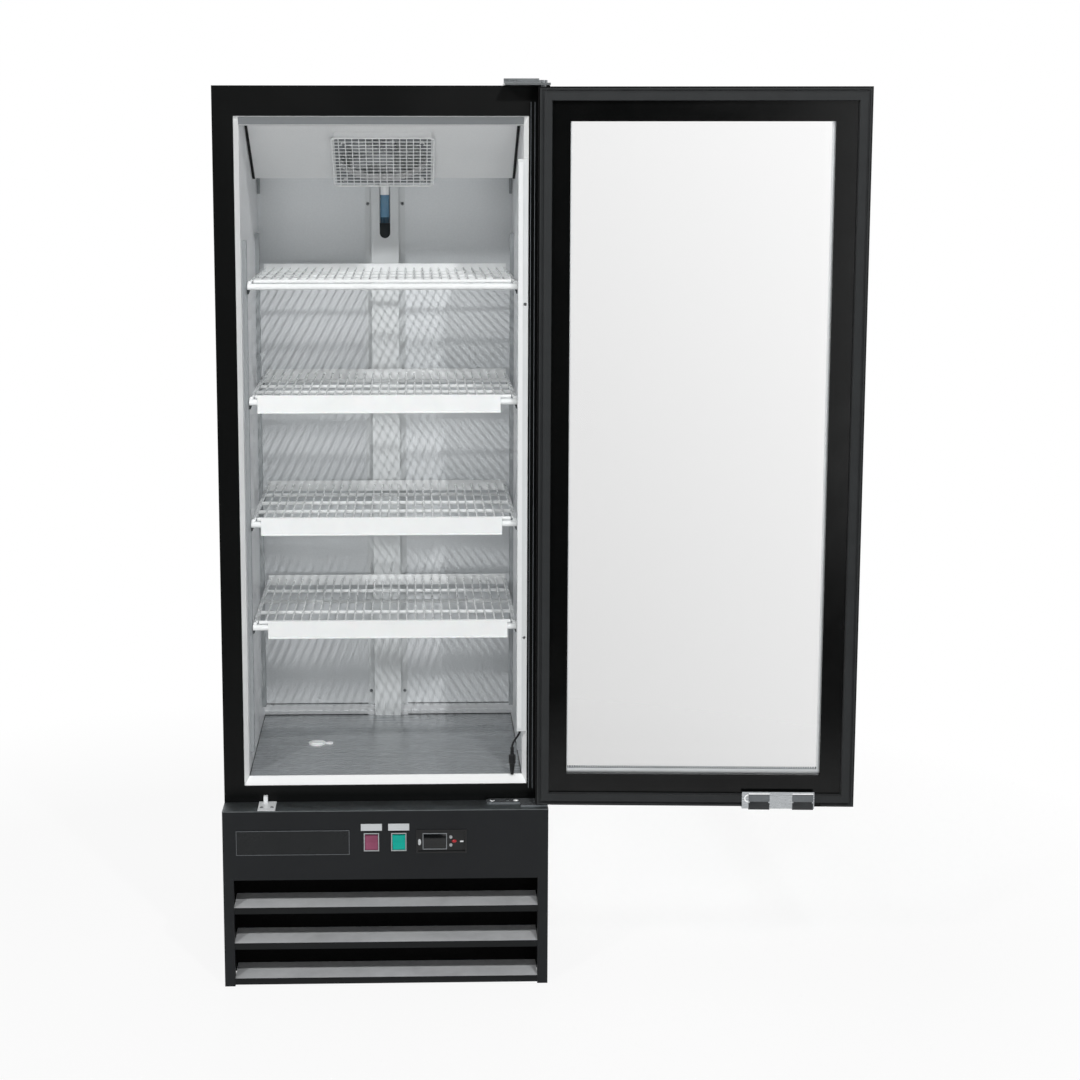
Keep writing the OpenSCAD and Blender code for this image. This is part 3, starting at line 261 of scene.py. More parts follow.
def newFinish(name, group, values, shader, bump, dust=None):
    material, tree = emptyMaterial(name)
    surface = tree.nodes.new("ShaderNodeBsdfPrincipled")
    for key, value in shader.items():
        surface.inputs[key].default_value = value
    effect = placeGroup(tree, group, values)
    colour = effect.outputs["Color"]
    if dust:
        cover = placeGroup(tree, upwardDustAndSheen, {"DustAndSheen": toneOf(dust["tone"]), "Amount": dust["amount"],
                                               "Specks": dust.get("specks", 60.0)})
        tree.links.new(colour, cover.inputs["Tone"])
        colour = cover.outputs["Color"]
    tree.links.new(colour, surface.inputs["Base Color"])
    tree.links.new(effect.outputs["Roughness"], surface.inputs["Roughness"])
    relief = addNode(tree, "ShaderNodeBump", None, {"Strength": bump[0], "Distance": bump[1] / 1000})
    tree.links.new(effect.outputs["Height"], relief.inputs["Height"])
    tree.links.new(relief.outputs["Normal"], surface.inputs["Normal"])
    result = tree.nodes.new("ShaderNodeOutputMaterial")
    tree.links.new(surface.outputs["BSDF"], result.inputs["Surface"])
    return material


def toneValues(look, extra):
    values = {"Tone": toneOf(look["tone"]), "Shade": toneOf(look["shade"]),
              "Smooth": look["smooth"], "Rough": look["rough"]}
    values.update(extra)
    return values


def tonedFinish(name, look, usual, shader):
    # usual holds what the kind of surface has where the piece's own look says nothing
    full = dict(usual, **look)
    tone = toneValues(full, {"Patches": full["patches"], "Grain": full["grain"], "Spread": full["spread"]})
    return newFinish(name, surfaceTone, tone, dict(shader, **{"Specular IOR Level": full["shine"]}),
                     (full["bump"], full["depth"]), full.get("dust"))


usualPaint = {"patches": 5.0, "grain": 1400.0, "spread": 0.7, "shine": 0.5, "bump": 0.25, "depth": 0.08}
usualPlastic = {"patches": 14.0, "grain": 2200.0, "spread": 0.55, "shine": 0.5, "bump": 0.2, "depth": 0.05}
usualRubber = {"patches": 20.0, "grain": 1600.0, "spread": 0.7, "shine": 0.35, "bump": 0.35, "depth": 0.08}


def paintedSteel(name, look):
    return tonedFinish(name, look, usualPaint, {"Coat Weight": look.get("coat", 0.0), "Coat Roughness": 0.12})


def mouldedPlastic(name, look):
    return tonedFinish(name, look, usualPlastic,
                       {"IOR": 1.5, "Subsurface Weight": look.get("milky", 0.0), "Subsurface Scale": 0.002})


def softRubber(name, look):
    return tonedFinish(name, look, usualRubber, {"Sheen Weight": 0.06, "Sheen Roughness": 0.5})


def brushedMetal(name, look):
    return newFinish(name, brushedTone,
                     toneValues(look, {"Along": look.get("along", (10.0, 900.0, 900.0)),
                                       "Cloud": look.get("cloud", 5.0)}),
                     {"Metallic": look.get("metal", 1.0)},
                     (look.get("bump", 0.2), look.get("depth", 0.03)), look.get("dust"))


def embossedSheet(name, look):
    return newFinish(name, stippleTone,
                     toneValues(look, {"Pebbles": look.get("pebbles", 260.0), "Cloud": look.get("cloud", 4.0)}),
                     {"Metallic": look.get("metal", 0.0), "Specular IOR Level": look.get("shine", 0.5)},
                     (look.get("bump", 0.3), look.get("depth", 0.15)), look.get("dust"))


def dress(node, material):
    piece = cadNodes[node]
    piece.data.materials.clear()
    piece.data.materials.append(material)


# mesh helpers for the added pieces

doorPlace = {"pin": mm(300, -272), "open": 177, "corner": mm(-305, -300, 360)}


def doorMatrix(look):
    pin = Vector((*look["pin"], 0))
    turn = Matrix.Rotation(math.radians(look["open"]), 4, "Z")
    return Matrix.Translation(pin) @ turn @ Matrix.Translation(-pin) @ Matrix.Translation(look["corner"])


onDoor = doorMatrix(doorPlace)


def addPiece(name, mesh, body, material, matrix=None, smooth=True):
    data = bpy.data.meshes.new(name)
    mesh.normal_update()
    mesh.to_mesh(data)
    mesh.free()
    if matrix is not None:
        data.transform(matrix)
    piece = newObject(name, data)
    data.materials.append(material)
    if smooth:
        data.polygons.foreach_set("use_smooth", [True] * len(data.polygons))
        data.set_sharp_from_angle(angle=math.radians(35))
    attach(piece, body)
    return piece


def joinRows(mesh, first, second):
    # four-sided faces between two closed rows of points
    for k in range(len(first)):
        n = (k + 1) % len(first)
        mesh.faces.new((first[k], first[n], second[n], second[k]))


def addBlock(mesh, low, high, edge=0.0, steps=2):
    # a block with softened edges
    size = [h - l for l, h in zip(low, high)]
    made = bmesh.ops.create_cube(mesh, size=1.0)
    verts = made["verts"]
    bmesh.ops.scale(mesh, vec=size, verts=verts)
    bmesh.ops.translate(mesh, vec=[(l + h) / 2 for l, h in zip(low, high)], verts=verts)
    if edge:
        edges = list(dict.fromkeys(e for v in verts for e in v.link_edges))    # in the same order each run
        bmesh.ops.bevel(mesh, geom=edges, offset=edge, segments=steps, affect="EDGES", profile=0.5)


def addTurned(mesh, profile, at, axis, steps=32):
    # a turned form: (radius, along) pairs spun about an axis
    lift = Vector(axis).normalized()
    side = lift.orthogonal().normalized()
    other = lift.cross(side)
    rings = []
    for radius, along in profile:
        if radius < 1e-7:
            rings.append([mesh.verts.new(Vector(at) + lift * along)])
            continue
        rings.append([mesh.verts.new(Vector(at) + lift * along
                      + side * (radius * math.cos(2 * math.pi * k / steps))
                      + other * (radius * math.sin(2 * math.pi * k / steps))) for k in range(steps)])
    for low, high in zip(rings, rings[1:]):
        if len(low) == len(high):
            joinRows(mesh, low, high)
            continue
        for k in range(steps):
            n = (k + 1) % steps
            mesh.faces.new((low[0], high[n], high[k]) if len(low) == 1 else (low[k], low[n], high[0]))


def domeProfile(radius, rise, steps):
    # a rounded end, for addTurned
    bend = [math.pi / 2 * k / steps for k in range(steps)]
    return [(radius * math.cos(a), rise * math.sin(a)) for a in bend] + [(0, rise)]


def addPrism(mesh, outline, x0, x1):
    # an outline of (y, z) points drawn out along x
    near, far = ([mesh.verts.new((x, y, z)) for y, z in outline] for x in (x0, x1))
    mesh.faces.new(near)
    mesh.faces.new(far[::-1])
    for k in range(len(outline)):
        n = (k + 1) % len(outline)
        mesh.faces.new((near[k], far[k], far[n], near[n]))
    bmesh.ops.recalc_face_normals(mesh, faces=mesh.faces)


def addSlopedSheet(mesh, start, end, thick, x0, x1):
    # a thin sheet on a slope, from one (y, z) point to another
    (y0, z0), (y1, z1) = start, end
    slope = Vector((y1 - y0, z1 - z0)).normalized()
    out = Vector((slope.y, -slope.x)) * thick
    addPrism(mesh, [(y0, z0), (y1, z1), (y1 + out.x, z1 + out.y), (y0 + out.x, z0 + out.y)], x0, x1)


def addRing(mesh, low, high, width, y0, y1, edge):
    # a flat four-sided ring with mitred corners
    lines = []
    for inset, y in ((0, y0), (0, y1 - edge), (edge, y1), (width - edge, y1), (width, y1 - edge), (width, y0)):
        lines.append([mesh.verts.new(p) for p in (
            (low[0] + inset, y, low[1] + inset), (high[0] - inset, y, low[1] + inset),
            (high[0] - inset, y, high[1] - inset), (low[0] + inset, y, high[1] - inset))])
    for first, second in zip(lines, lines[1:]):
        joinRows(mesh, first, second)
    bmesh.ops.recalc_face_normals(mesh, faces=mesh.faces)


# cabinet shell

sideSkin = {"tone": "#0e0f10", "shade": "#090a0a", "shine": 0.2, "smooth": 0.34, "rough": 0.46, "patches": 3.0}
topSkin = {"tone": "#121314", "shade": "#0b0c0d", "shine": 0.2, "smooth": 0.36, "rough": 0.5,
           "dust": {"tone": "#5c5e5f", "amount": 0.22}}
backSkin = {"tone": "#9a9ea0", "shade": "#7f8385", "smooth": 0.38, "rough": 0.55,
            "along": (900.0, 900.0, 6.0), "cloud": 3.0, "metal": 0.7}
frontFace = {"tone": "#070808", "shade": "#040505", "shine": 0.2, "smooth": 0.3, "rough": 0.42, "patches": 3.0}
foamCore = {"tone": "#d9c98f", "shade": "#bfa968", "smooth": 0.8, "rough": 0.95, "patches": 30.0,
            "grain": 500.0, "bump": 0.6, "depth": 0.6}
breakerStrip = {"tone": "#f8f9f9", "shade": "#eef0f0", "smooth": 0.34, "rough": 0.48}
dress("outer_sides", paintedSteel("sideSkinPaint", sideSkin))
dress("outer_top", paintedSteel("topSkinPaint", topSkin))
dress("outer_back", brushedMetal("backSkinSteel", backSkin))
dress("face_frame", paintedSteel("frontFacePaint", frontFace))
dress("insulation", mouldedPlastic("foamCoreCells", foamCore))
dress("breaker_strips", mouldedPlastic("breakerStripPlastic", breakerStrip))

# painted shade: a grey sheet over the top breaker strip, where the face frame shades it
lintelShade = {"half": 0.267, "front": mm(-236.3, 1674.3), "back": mm(-222.8, 1660.9), "proud": 0.0004,
          "tone": "#8d9193", "shade": "#7b7f82", "smooth": 0.34, "rough": 0.5}
# painted highlights: two thin pale strips along the hinge-side edges of the front face
edgeHighlightLines = {"at": mm(279.2, 286.6), "width": 0.0009, "low": 0.378, "high": 1.702, "y": -0.24,
             "proud": 0.0005, "edge": 0.0002,
             "tone": "#8b9196", "shade": "#6f7478", "smooth": 0.2, "rough": 0.34}


def lintelShadeSheet(look):
    # a mid-grey sheet over the top breaker strip under the top edge of the opening: painted shade where the face
    # frame shades that strip
    mesh = bmesh.new()
    addSlopedSheet(mesh, look["front"], look["back"], look["proud"], -look["half"], look["half"])
    addPiece("lintelShadeSheet", mesh, "cabinet", paintedSteel("lintelPaintedShade", look), smooth=False)


def postEdgeHighlights(look):
    # two thin pale strips on the hinge side of the front face: painted highlights, the light caught along the
    # edges there
    mesh = bmesh.new()
    for x in look["at"]:
        addBlock(mesh, (x - look["width"] / 2, look["y"] - look["proud"], look["low"]),
                 (x + look["width"] / 2, look["y"], look["high"]), look["edge"], 1)
    addPiece("postEdgeHighlights", mesh, "cabinet", paintedSteel("postPaintedHighlight", look), smooth=False)


lintelShadeSheet(lintelShade)
postEdgeHighlights(edgeHighlightLines)
print("cabinet shell dressed")


# inside walls

# the side liner is the same sheet as the back liner, painted brighter: painted light on the side walls
sideLinerLightened = {"tone": "#f6f7f8", "shade": "#ecedef", "smooth": 0.3, "rough": 0.46, "metal": 0.1}
backLiner = {"tone": "#dadddf", "shade": "#cdd1d3", "smooth": 0.3, "rough": 0.46, "metal": 0.1}
topLiner = {"tone": "#f3f4f5", "shade": "#e7e9ea", "smooth": 0.32, "rough": 0.48, "metal": 0.1}
floorPan = {"tone": "#b9bcbe", "shade": "#9a9ea1", "smooth": 0.2, "rough": 0.34,
            "along": (7.0, 700.0, 700.0), "cloud": 6.0, "metal": 0.5}
lowBoards = {"tone": "#f5f6f7", "shade": "#dde0e2", "smooth": 0.25, "rough": 0.4, "along": (8.0, 800.0, 800.0),
             "metal": 0.4}
ductSkin = {"tone": "#d3d6d7", "shade": "#c6cacb", "smooth": 0.32, "rough": 0.46, "patches": 6.0}
slottedPosts = {"tone": "#b6babc", "shade": "#9da2a5", "smooth": 0.3, "rough": 0.48,
                "along": (800.0, 800.0, 9.0), "metal": 0.35}
shelfHooks = {"tone": "#8d9193", "shade": "#6b6f71", "smooth": 0.3, "rough": 0.5, "along": (600.0, 30.0, 600.0)}
dress("liner_sides", embossedSheet("sideLinerPaintedLight", sideLinerLightened))
dress("liner_back", embossedSheet("backLinerSheet", backLiner))
dress("liner_top", embossedSheet("topLinerSheet", topLiner))
dress("floor_pan", brushedMetal("floorPanSteel", floorPan))
dress("baseboards", brushedMetal("lowBoardSteel", lowBoards))
dress("back_duct", paintedSteel("ductSkinPaint", ductSkin))
dress("shelf_standards", brushedMetal("slottedPostSteel", slottedPosts))
dress("shelf_clips", brushedMetal("shelfHookSteel", shelfHooks))

floorSeams = {"half": 0.2668, "front": -0.221, "back": 0.228, "floor": 0.402, "duct": 0.043, "wide": 0.0013,
              "levels": mm(402.9, 411.2, 422.6), "places": mm(228.4, 240.6, 246.4),
              "tone": "#3b3e40", "shade": "#2a2c2e", "smooth": 0.5, "rough": 0.7}


def floorSeamLines(look):
    # dark joints where the floor meets the side walls and along the stepped boards at the back
    mesh = bmesh.new()
    wide = look["wide"]
    for side in (-1, 1):
        x0, x1 = sorted((side * look["half"], side * (look["half"] - wide)))
        addBlock(mesh, (x0, look["front"], look["floor"]), (x1, look["back"], look["floor"] + wide))
        x0, x1 = sorted((side * look["half"], side * look["duct"]))
        for z, y in zip(look["levels"], look["places"]):
            addBlock(mesh, (x0, y - wide / 2, z - wide / 2), (x1, y + wide / 2, z + wide / 2))
    addPiece("floorSeamLines", mesh, "cabinet", softRubber("floorSeamDark", look), smooth=False)


floorSeamLines(floorSeams)
print("inside walls dressed")


# shelves

shelfWire = {"tone": "#f2f4f4", "shade": "#e3e6e7", "smooth": 0.22, "rough": 0.36, "patches": 20.0,
             "grain": 1500.0, "coat": 0.3}
stripPlastic = {"tone": "#eff1f1", "shade": "#e1e4e4", "smooth": 0.25, "rough": 0.38, "milky": 0.05}
wirePaint = paintedSteel("shelfWireCoating", shelfWire)
for level in (1, 2, 3, 4):
    dress(f"shelf_{level}", wirePaint)
dress("price_strips", mouldedPlastic("priceStripPlastic", stripPlastic))

shelfEnds = {"tops": mm(1369.8, 1148.8, 910.8, 706.8), "side": 0.253, "front": -0.197, "radius": 0.0043,
             "stub": 0.004, "drop": 0.0095, "bend": 6, "steps": 20}


def shelfBarEnds(look, material):
    # the rounded ends of the two side bars of each shelf
    mesh = bmesh.new()
    r = look["radius"]
    end = [(r, look["stub"])] + domeProfile(r, -r, look["bend"])
    for top in look["tops"]:
        for x in (-look["side"], look["side"]):
            addTurned(mesh, end, (x, look["front"], top - look["drop"]), (0, 1, 0), look["steps"])
    addPiece("shelfBarEnds", mesh, "cabinet", material)


shelfBarEnds(shelfEnds, wirePaint)
print("shelves dressed")


# cooling unit in the ceiling

coverSheet = {"tone": "#f4f5f5", "shade": "#e8eaeb", "smooth": 0.3, "rough": 0.44, "pebbles": 330.0}
guardWire = {"tone": "#fcfdfd", "shade": "#f1f3f3", "smooth": 0.24, "rough": 0.38, "coat": 0.25}
finStack = {"tone": "#d4d8da", "shade": "#b3b8bb", "smooth": 0.35, "rough": 0.5, "along": (1400.0, 40.0, 40.0),
            "metal": 0.4}
upperFan = {"tone": "#aaaeb0", "shade": "#979b9e", "smooth": 0.36, "rough": 0.5}
motorShell = {"tone": "#a2a5a8", "shade": "#888c8f", "smooth": 0.36, "rough": 0.52}
dress("evaporator_cover", embossedSheet("coverSheetMetal", coverSheet))
dress("fan_guard", paintedSteel("guardWireCoating", guardWire))
dress("evaporator_coil", brushedMetal("finStackAluminium", finStack))
dress("evaporator_fan", mouldedPlastic("upperFanPlastic", upperFan))
dress("fan_motors", paintedSteel("motorShellPaint", motorShell))

# painted shade: near-black strips in the gaps at both ends of the sloped cover
coverEndShade = {"half": 0.2665, "thick": 0.005, "top": mm(-77, 1659.6), "low": mm(115, 1556), "deep": 0.0016,
             "tone": "#0c0d0d", "shade": "#060606", "smooth": 0.6, "rough": 0.85}
sideBrackets = {"half": 0.2665, "wide": 0.006, "low": mm(231, 1530), "high": mm(246, 1556), "lip": mm(2, 8),
                "edge": 0.0006, "tone": "#8f9496", "shade": "#777b7e", "smooth": 0.3, "rough": 0.45}


def coverEndShadeStrips(look):
    # near-black strips in the joints between the sloped cover and the side walls: painted shade in the open gaps
    # there
    mesh = bmesh.new()
    for side in (-1, 1):
        addSlopedSheet(mesh, look["top"], look["low"], look["deep"],
                       side * look["half"], side * (look["half"] - look["thick"]))
    addPiece("coverEndShadeStrips", mesh, "cabinet", softRubber("coverEndPaintedShade", look), smooth=False)


def coverBrackets(look):
    # a small angle under each end of the cover
    mesh = bmesh.new()
    (y0, z0), (y1, z1) = look["low"], look["high"]
    for side in (-1, 1):
        inner, outer = sorted((side * look["half"], side * (look["half"] - look["wide"])))
        addBlock(mesh, (inner, y0, z0), (outer, y1, z1), look["edge"])
        addBlock(mesh, (inner, y0 + look["lip"][0], z0 - look["lip"][1]), (outer, y1, z0), look["edge"])
    addPiece("coverBrackets", mesh, "cabinet", paintedSteel("bracketGrey", look))


# painted shade: a grey plate on the shroud face behind the fan guard
fanSurroundShade = {"at": mm(0, 27.62, 1603.24), "slope": 28.4, "half": 0.0945, "hole": 0.0885, "low": -0.0126,
               "thick": 0.0006, "steps": 64,
               "tone": "#84888b", "shade": "#72767a", "smooth": 0.45, "rough": 0.65}


def fanShadePlate(look):
    # a mid-grey plate round the fan, behind the guard: painted shade on the shroud face
    mesh = bmesh.new()
    rows = []
    steps, top = look["steps"], look["low"] + look["thick"]
    for k in range(steps):
        a = 2 * math.pi * k / steps
        c, d = math.cos(a), math.sin(a)
        wide = look["half"] / max(abs(c), abs(d))
        rows.append([mesh.verts.new((r * c, r * d, z)) for r, z in (
            (wide, top), (wide, look["low"]), (look["hole"], look["low"]), (look["hole"], top))])
    for first, second in zip(rows, rows[1:] + rows[:1]):
        joinRows(mesh, first, second)
    bmesh.ops.recalc_face_normals(mesh, faces=mesh.faces)
    lean = Matrix.Translation(look["at"]) @ Matrix.Rotation(math.radians(-look["slope"]), 4, "X")
    addPiece("fanShadePlate", mesh, "cabinet", mouldedPlastic("fanSurroundPaintedShade", look), lean,
             smooth=False)


fanShadePlate(fanSurroundShade)
coverEndShadeStrips(coverEndShade)
coverBrackets(sideBrackets)
print("cooling unit dressed")


def tintedTube(name, look):
    # thin coloured plastic that lets light through
    return newFinish(name, surfaceTone, toneValues(look, {"Patches": 30.0, "Grain": 900.0, "Spread": 0.6}),
                     {"Transmission Weight": look["clear"], "IOR": 1.3}, (0.15, 0.05))


drainTube = {"tone": "#9cc6e0", "shade": "#6ea6cb", "smooth": 0.08, "rough": 0.2, "clear": 0.55}
dress("drain_tube", tintedTube("drainTubePlastic", drainTube))

tubeWater = {"tone": "#1f3f52", "shade": "#152c3b", "smooth": 0.1, "rough": 0.2,
             "at": mm(0, 222, 1461.7), "radius": 0.0096, "level": 0.012, "brim": 0.0004, "inner": 0.97,
             "steps": 28}
# painted shade: a dark plate inside the slot behind the drain tube
slotShade = {"low": mm(-11, 223.6, 1428), "high": mm(11, 224.6, 1461.4),
            "tone": "#25292c", "shade": "#191c1e", "smooth": 0.6, "rough": 0.8}


def drainWater(look, slotLook):
    # the dark wet end of the tube, and a dark plate of painted shade inside the slot that it hangs in
    mesh = bmesh.new()
    r, level = look["radius"], look["level"]
    top = level + look["brim"]
    addTurned(mesh, [(0, 0), (r, 0), (r, level), (r * look["inner"], top), (0, top)],
              look["at"], (0, 0, 1), look["steps"])
    bmesh.ops.recalc_face_normals(mesh, faces=mesh.faces)
    addPiece("drainWater", mesh, "cabinet", mouldedPlastic("tubeWaterDark", look))
    mesh = bmesh.new()
    addBlock(mesh, slotLook["low"], slotLook["high"])
    addPiece("slotInsideShade", mesh, "cabinet", softRubber("slotPaintedShade", slotLook), smooth=False)


drainWater(tubeWater, slotShade)
print("drain tube filled")


# light bar

lightTrim = {"tone": "#d6d9da", "shade": "#c8cccd", "smooth": 0.26, "rough": 0.4}
lensGlow = {"tone": "#e4e6e7", "shade": "#d9dcdd", "smooth": 0.2, "rough": 0.32, "glow": 0.04}
dress("light_bar", mouldedPlastic("lightTrimPlastic", lightTrim))


def glowingLens(name, look):
    material = newFinish(name, surfaceTone, toneValues(look, {"Patches": 25.0, "Grain": 1200.0, "Spread": 0.5}),
                         {"Emission Strength": look["glow"]}, (0.1, 0.03))
    tree = material.node_tree
    group = next(n for n in tree.nodes if n.type == "GROUP")
    shader = next(n for n in tree.nodes if n.type == "BSDF_PRINCIPLED")
    tree.links.new(group.outputs["Color"], shader.inputs["Emission Color"])
    return material


dress("light_lens", glowingLens("lensGlowPlastic", lensGlow))

leadCord = {"exit": mm(263.5, -226, 492), "down": mm(248, -226, 458), "diameter": 0.004, "pieces": 24,
            "round": 6, "tone": "#1d1e20", "shade": "#131416", "smooth": 0.38, "rough": 0.55}
leadPlug = {"at": mm(248, -226, 402), "tone": "#1a1b1d", "shade": "#111213", "smooth": 0.34, "rough": 0.5,
            "body": ((0, 0), (0.0032, 0), (0.0036, 0.001), (0.0057, 0.0215), (0.0062, 0.0225), (0.007, 0.0233),
                     (0.007, 0.0262), (0.0066, 0.0266), (0.0066, 0.0282), (0.007, 0.0286), (0.007, 0.0382),
                     (0.0064, 0.0394), (0.0042, 0.0402), (0.0036, 0.0412)),
            "rings": 4, "ringsFrom": 0.0425, "ringPitch": 0.0032, "steps": 28,
            "ring": ((0.0036, 0), (0.0036, 0.0018), (0.003, 0.0021), (0.003, 0.0028)),
            "end": ((0.0026, 0.0558), (0.0021, 0.0562), (0, 0.0562))}


def lightLead(look, plugLook):
    # a short lead in an easy double bend, and its round connector
    start, end = Vector(look["exit"]), Vector(look["down"])
    count = look["pieces"]
    points = []
    for k in range(count + 1):
        t = k / count
        s = t * t * (3 - 2 * t)
        points.append((start.x + (end.x - start.x) * s, start.y, start.z + (end.z - start.z) * t))
    data = bpy.data.curves.new("lightLead", "CURVE")
    data.dimensions = "3D"
    data.bevel_depth, data.bevel_resolution = look["diameter"] / 2, look["round"]
    line = data.splines.new("POLY")
    line.points.add(count)
    for point, place in zip(line.points, points):
        point.co = (*place, 1)
    data.materials.append(softRubber("leadCordRubber", look))
    cord = newObject("lightLead", data)
    mesh = bmesh.new()
    profile = list(plugLook["body"])
    for ring in range(plugLook["rings"]):
        z = plugLook["ringsFrom"] + ring * plugLook["ringPitch"]
        profile += [(radius, z + up) for radius, up in plugLook["ring"]]
    profile += plugLook["end"]
    addTurned(mesh, profile, plugLook["at"], (0, 0, 1), plugLook["steps"])
    plug = addPiece("leadConnector", mesh, "cabinet", softRubber("leadPlugRubber", plugLook))
    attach(cord, "cabinet")
    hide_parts("light_lead")


lightLead(leadCord, leadPlug)
print("light bar and lead built")


# small metal parts of the cabinet

screwSteel = {"tone": "#b7babc", "shade": "#8d9092", "smooth": 0.22, "rough": 0.38, "along": (300.0, 300.0, 300.0)}
drainPlug = {"tone": "#f4f5f5", "shade": "#e6e9e9", "smooth": 0.24, "rough": 0.36, "milky": 0.08}
strikePaint = {"tone": "#eceeef", "shade": "#d9dcdd", "smooth": 0.28, "rough": 0.42}
topHinge = {"tone": "#c3c7c9", "shade": "#9ea3a6", "smooth": 0.22, "rough": 0.36, "along": (12.0, 700.0, 700.0)}
lowHinge = {"tone": "#a9adb0", "shade": "#7f8386", "smooth": 0.12, "rough": 0.24, "along": (12.0, 600.0, 600.0),
            "metal": 0.7}
dress("cabinet_screws", brushedMetal("screwSteelPlated", screwSteel))
dress("drain_plug", mouldedPlastic("drainPlugPlastic", drainPlug))
dress("lock_strike", paintedSteel("strikePaintWhite", strikePaint))
dress("top_hinge", brushedMetal("topHingeSteel", topHinge))
dress("bottom_hinge", brushedMetal("lowHingeSteel", lowHinge))

hingeRivets = {"at": (mm(208, -255.5, 358), mm(254, -255.5, 358)), "radius": 0.0052, "rise": 0.0016,
               "bend": 7, "steps": 28, "tone": "#ffffff", "shade": "#e6e8e9", "smooth": 0.08, "rough": 0.18,
               "along": (300.0, 300.0, 300.0), "metal": 0.2}


def lowHingeRivets(look):
    # two low domed rivets on the arm of the lower hinge
    mesh = bmesh.new()
    dome = domeProfile(look["radius"], look["rise"], look["bend"])
    for at in look["at"]:
        addTurned(mesh, [(0, 0)] + dome, at, (0, 0, 1), look["steps"])
    bmesh.ops.recalc_face_normals(mesh, faces=mesh.faces)
    addPiece("lowHingeRivets", mesh, "cabinet", brushedMetal("hingeRivetChrome", look))


lowHingeRivets(hingeRivets)
print("cabinet fittings dressed")


# base and machine room

deckSheet = {"tone": "#8f9496", "shade": "#6f7476", "smooth": 0.36, "rough": 0.56, "along": (40.0, 40.0, 40.0),
             "cloud": 30.0}
baseSkin = {"tone": "#202224", "shade": "#181a1b", "shine": 0.2, "smooth": 0.34, "rough": 0.48, "patches": 4.0,
            "dust": {"tone": "#6d6f70", "amount": 0.15}}
basePanel = {"tone": "#1f2123", "shade": "#18191b", "shine": 0.2, "smooth": 0.33, "rough": 0.46, "patches": 4.0}
# on the louver slats the pale up-facing tone is mostly painted sheen, the light their upward faces catch, with a
# little dust
louverPaint = {"tone": "#191b1c", "shade": "#101213", "shine": 0.2, "smooth": 0.3, "rough": 0.44,
               "dust": {"tone": "#dcdee0", "amount": 0.97, "specks": 12.0}}
grillePaint = {"tone": "#1c1e20", "shade": "#121415", "shine": 0.2, "smooth": 0.36, "rough": 0.52}
platePlastic = {"tone": "#1f2122", "shade": "#17181a", "shine": 0.25, "smooth": 0.24, "rough": 0.36}
housingPlastic = {"tone": "#101112", "shade": "#0a0b0b", "smooth": 0.32, "rough": 0.46}
compressorShell = {"tone": "#101111", "shade": "#0a0a0b", "smooth": 0.28, "rough": 0.46, "patches": 9.0}
condenserFins = {"tone": "#121314", "shade": "#0a0a0b", "smooth": 0.36, "rough": 0.55,
                 "along": (1300.0, 40.0, 40.0), "metal": 0.4}
copperLine = {"tone": "#c27a4e", "shade": "#8f5233", "smooth": 0.22, "rough": 0.42, "along": (80.0, 80.0, 80.0),
              "cloud": 12.0}
dripTray = {"tone": "#161718", "shade": "#0f1011", "smooth": 0.4, "rough": 0.55}
lowerFan = {"tone": "#2b2e30", "shade": "#1e2021", "smooth": 0.36, "rough": 0.5}
dress("base_deck", brushedMetal("deckSheetZinc", deckSheet))
dress("base_pan", brushedMetal("panSheetZinc", dict(deckSheet, cloud=22.0)))
dress("base_sides", paintedSteel("baseSkinPaint", baseSkin))
dress("base_panel", paintedSteel("basePanelPaint", basePanel))
dress("louver_blades", paintedSteel("louverPaintBlack", louverPaint))
dress("rear_grille", paintedSteel("grillePaintBlack", grillePaint))
dress("label_plates", mouldedPlastic("platePlasticDark", platePlastic))
dress("control_housings", mouldedPlastic("housingPlasticDark", housingPlastic))
dress("compressor", paintedSteel("compressorShellPaint", compressorShell))
dress("condenser_coil", brushedMetal("condenserFinsDark", condenserFins))
dress("refrigerant_lines", brushedMetal("copperLineTube", copperLine))
dress("drip_tray", mouldedPlastic("dripTrayPlastic", dripTray))
dress("condenser_fan", mouldedPlastic("lowerFanPlastic", lowerFan))

filterScreen = {"low": mm(-311, -225.6, 2), "high": mm(311, -221.6, 213), "bar": 0.006, "recess": mm(1.2, 0.8),
                "edge": 0.0008, "tone": "#050505", "shade": "#030303", "smooth": 0.7, "rough": 0.9, "grain": 700.0,
                "bump": 0.8, "depth": 0.6, "shine": 0.1}


def airFilter(look):
    # the black foam sheet in a thin frame that hangs behind the louvers
    low, high, bar = look["low"], look["high"], look["bar"]
    mesh = bmesh.new()
    front, back = look["recess"]
    addBlock(mesh, (low[0] + bar, low[1] + front, low[2] + bar), (high[0] - bar, high[1] - back, high[2] - bar))
    for z in (low[2], high[2] - bar):
        addBlock(mesh, (low[0], low[1], z), (high[0], high[1], z + bar), look["edge"])
    for x in (low[0], high[0] - bar):
        addBlock(mesh, (x, low[1], low[2]), (x + bar, high[1], high[2]), look["edge"])
    addPiece("airFilter", mesh, "cabinet", softRubber("filterScreenFoam", look))


airFilter(filterScreen)
print("base dressed")


# switches and controller

powerRocker = {"tone": "#a25976", "shade": "#8a4760", "smooth": 0.12, "rough": 0.24, "clear": 0.25}
lightRocker = {"tone": "#10bfae", "shade": "#0ea292", "smooth": 0.12, "rough": 0.24, "clear": 0.25}
keyPlastic = {"tone": "#a3a6a8", "shade": "#8c8f91", "smooth": 0.34, "rough": 0.48}
dress("power_switch", tintedTube("powerRockerPlastic", powerRocker))
dress("light_switch", tintedTube("lightRockerPlastic", lightRocker))
keyMaterial = mouldedPlastic("keyPlasticGrey", keyPlastic)
dress("up_button", keyMaterial)
dress("down_button", keyMaterial)

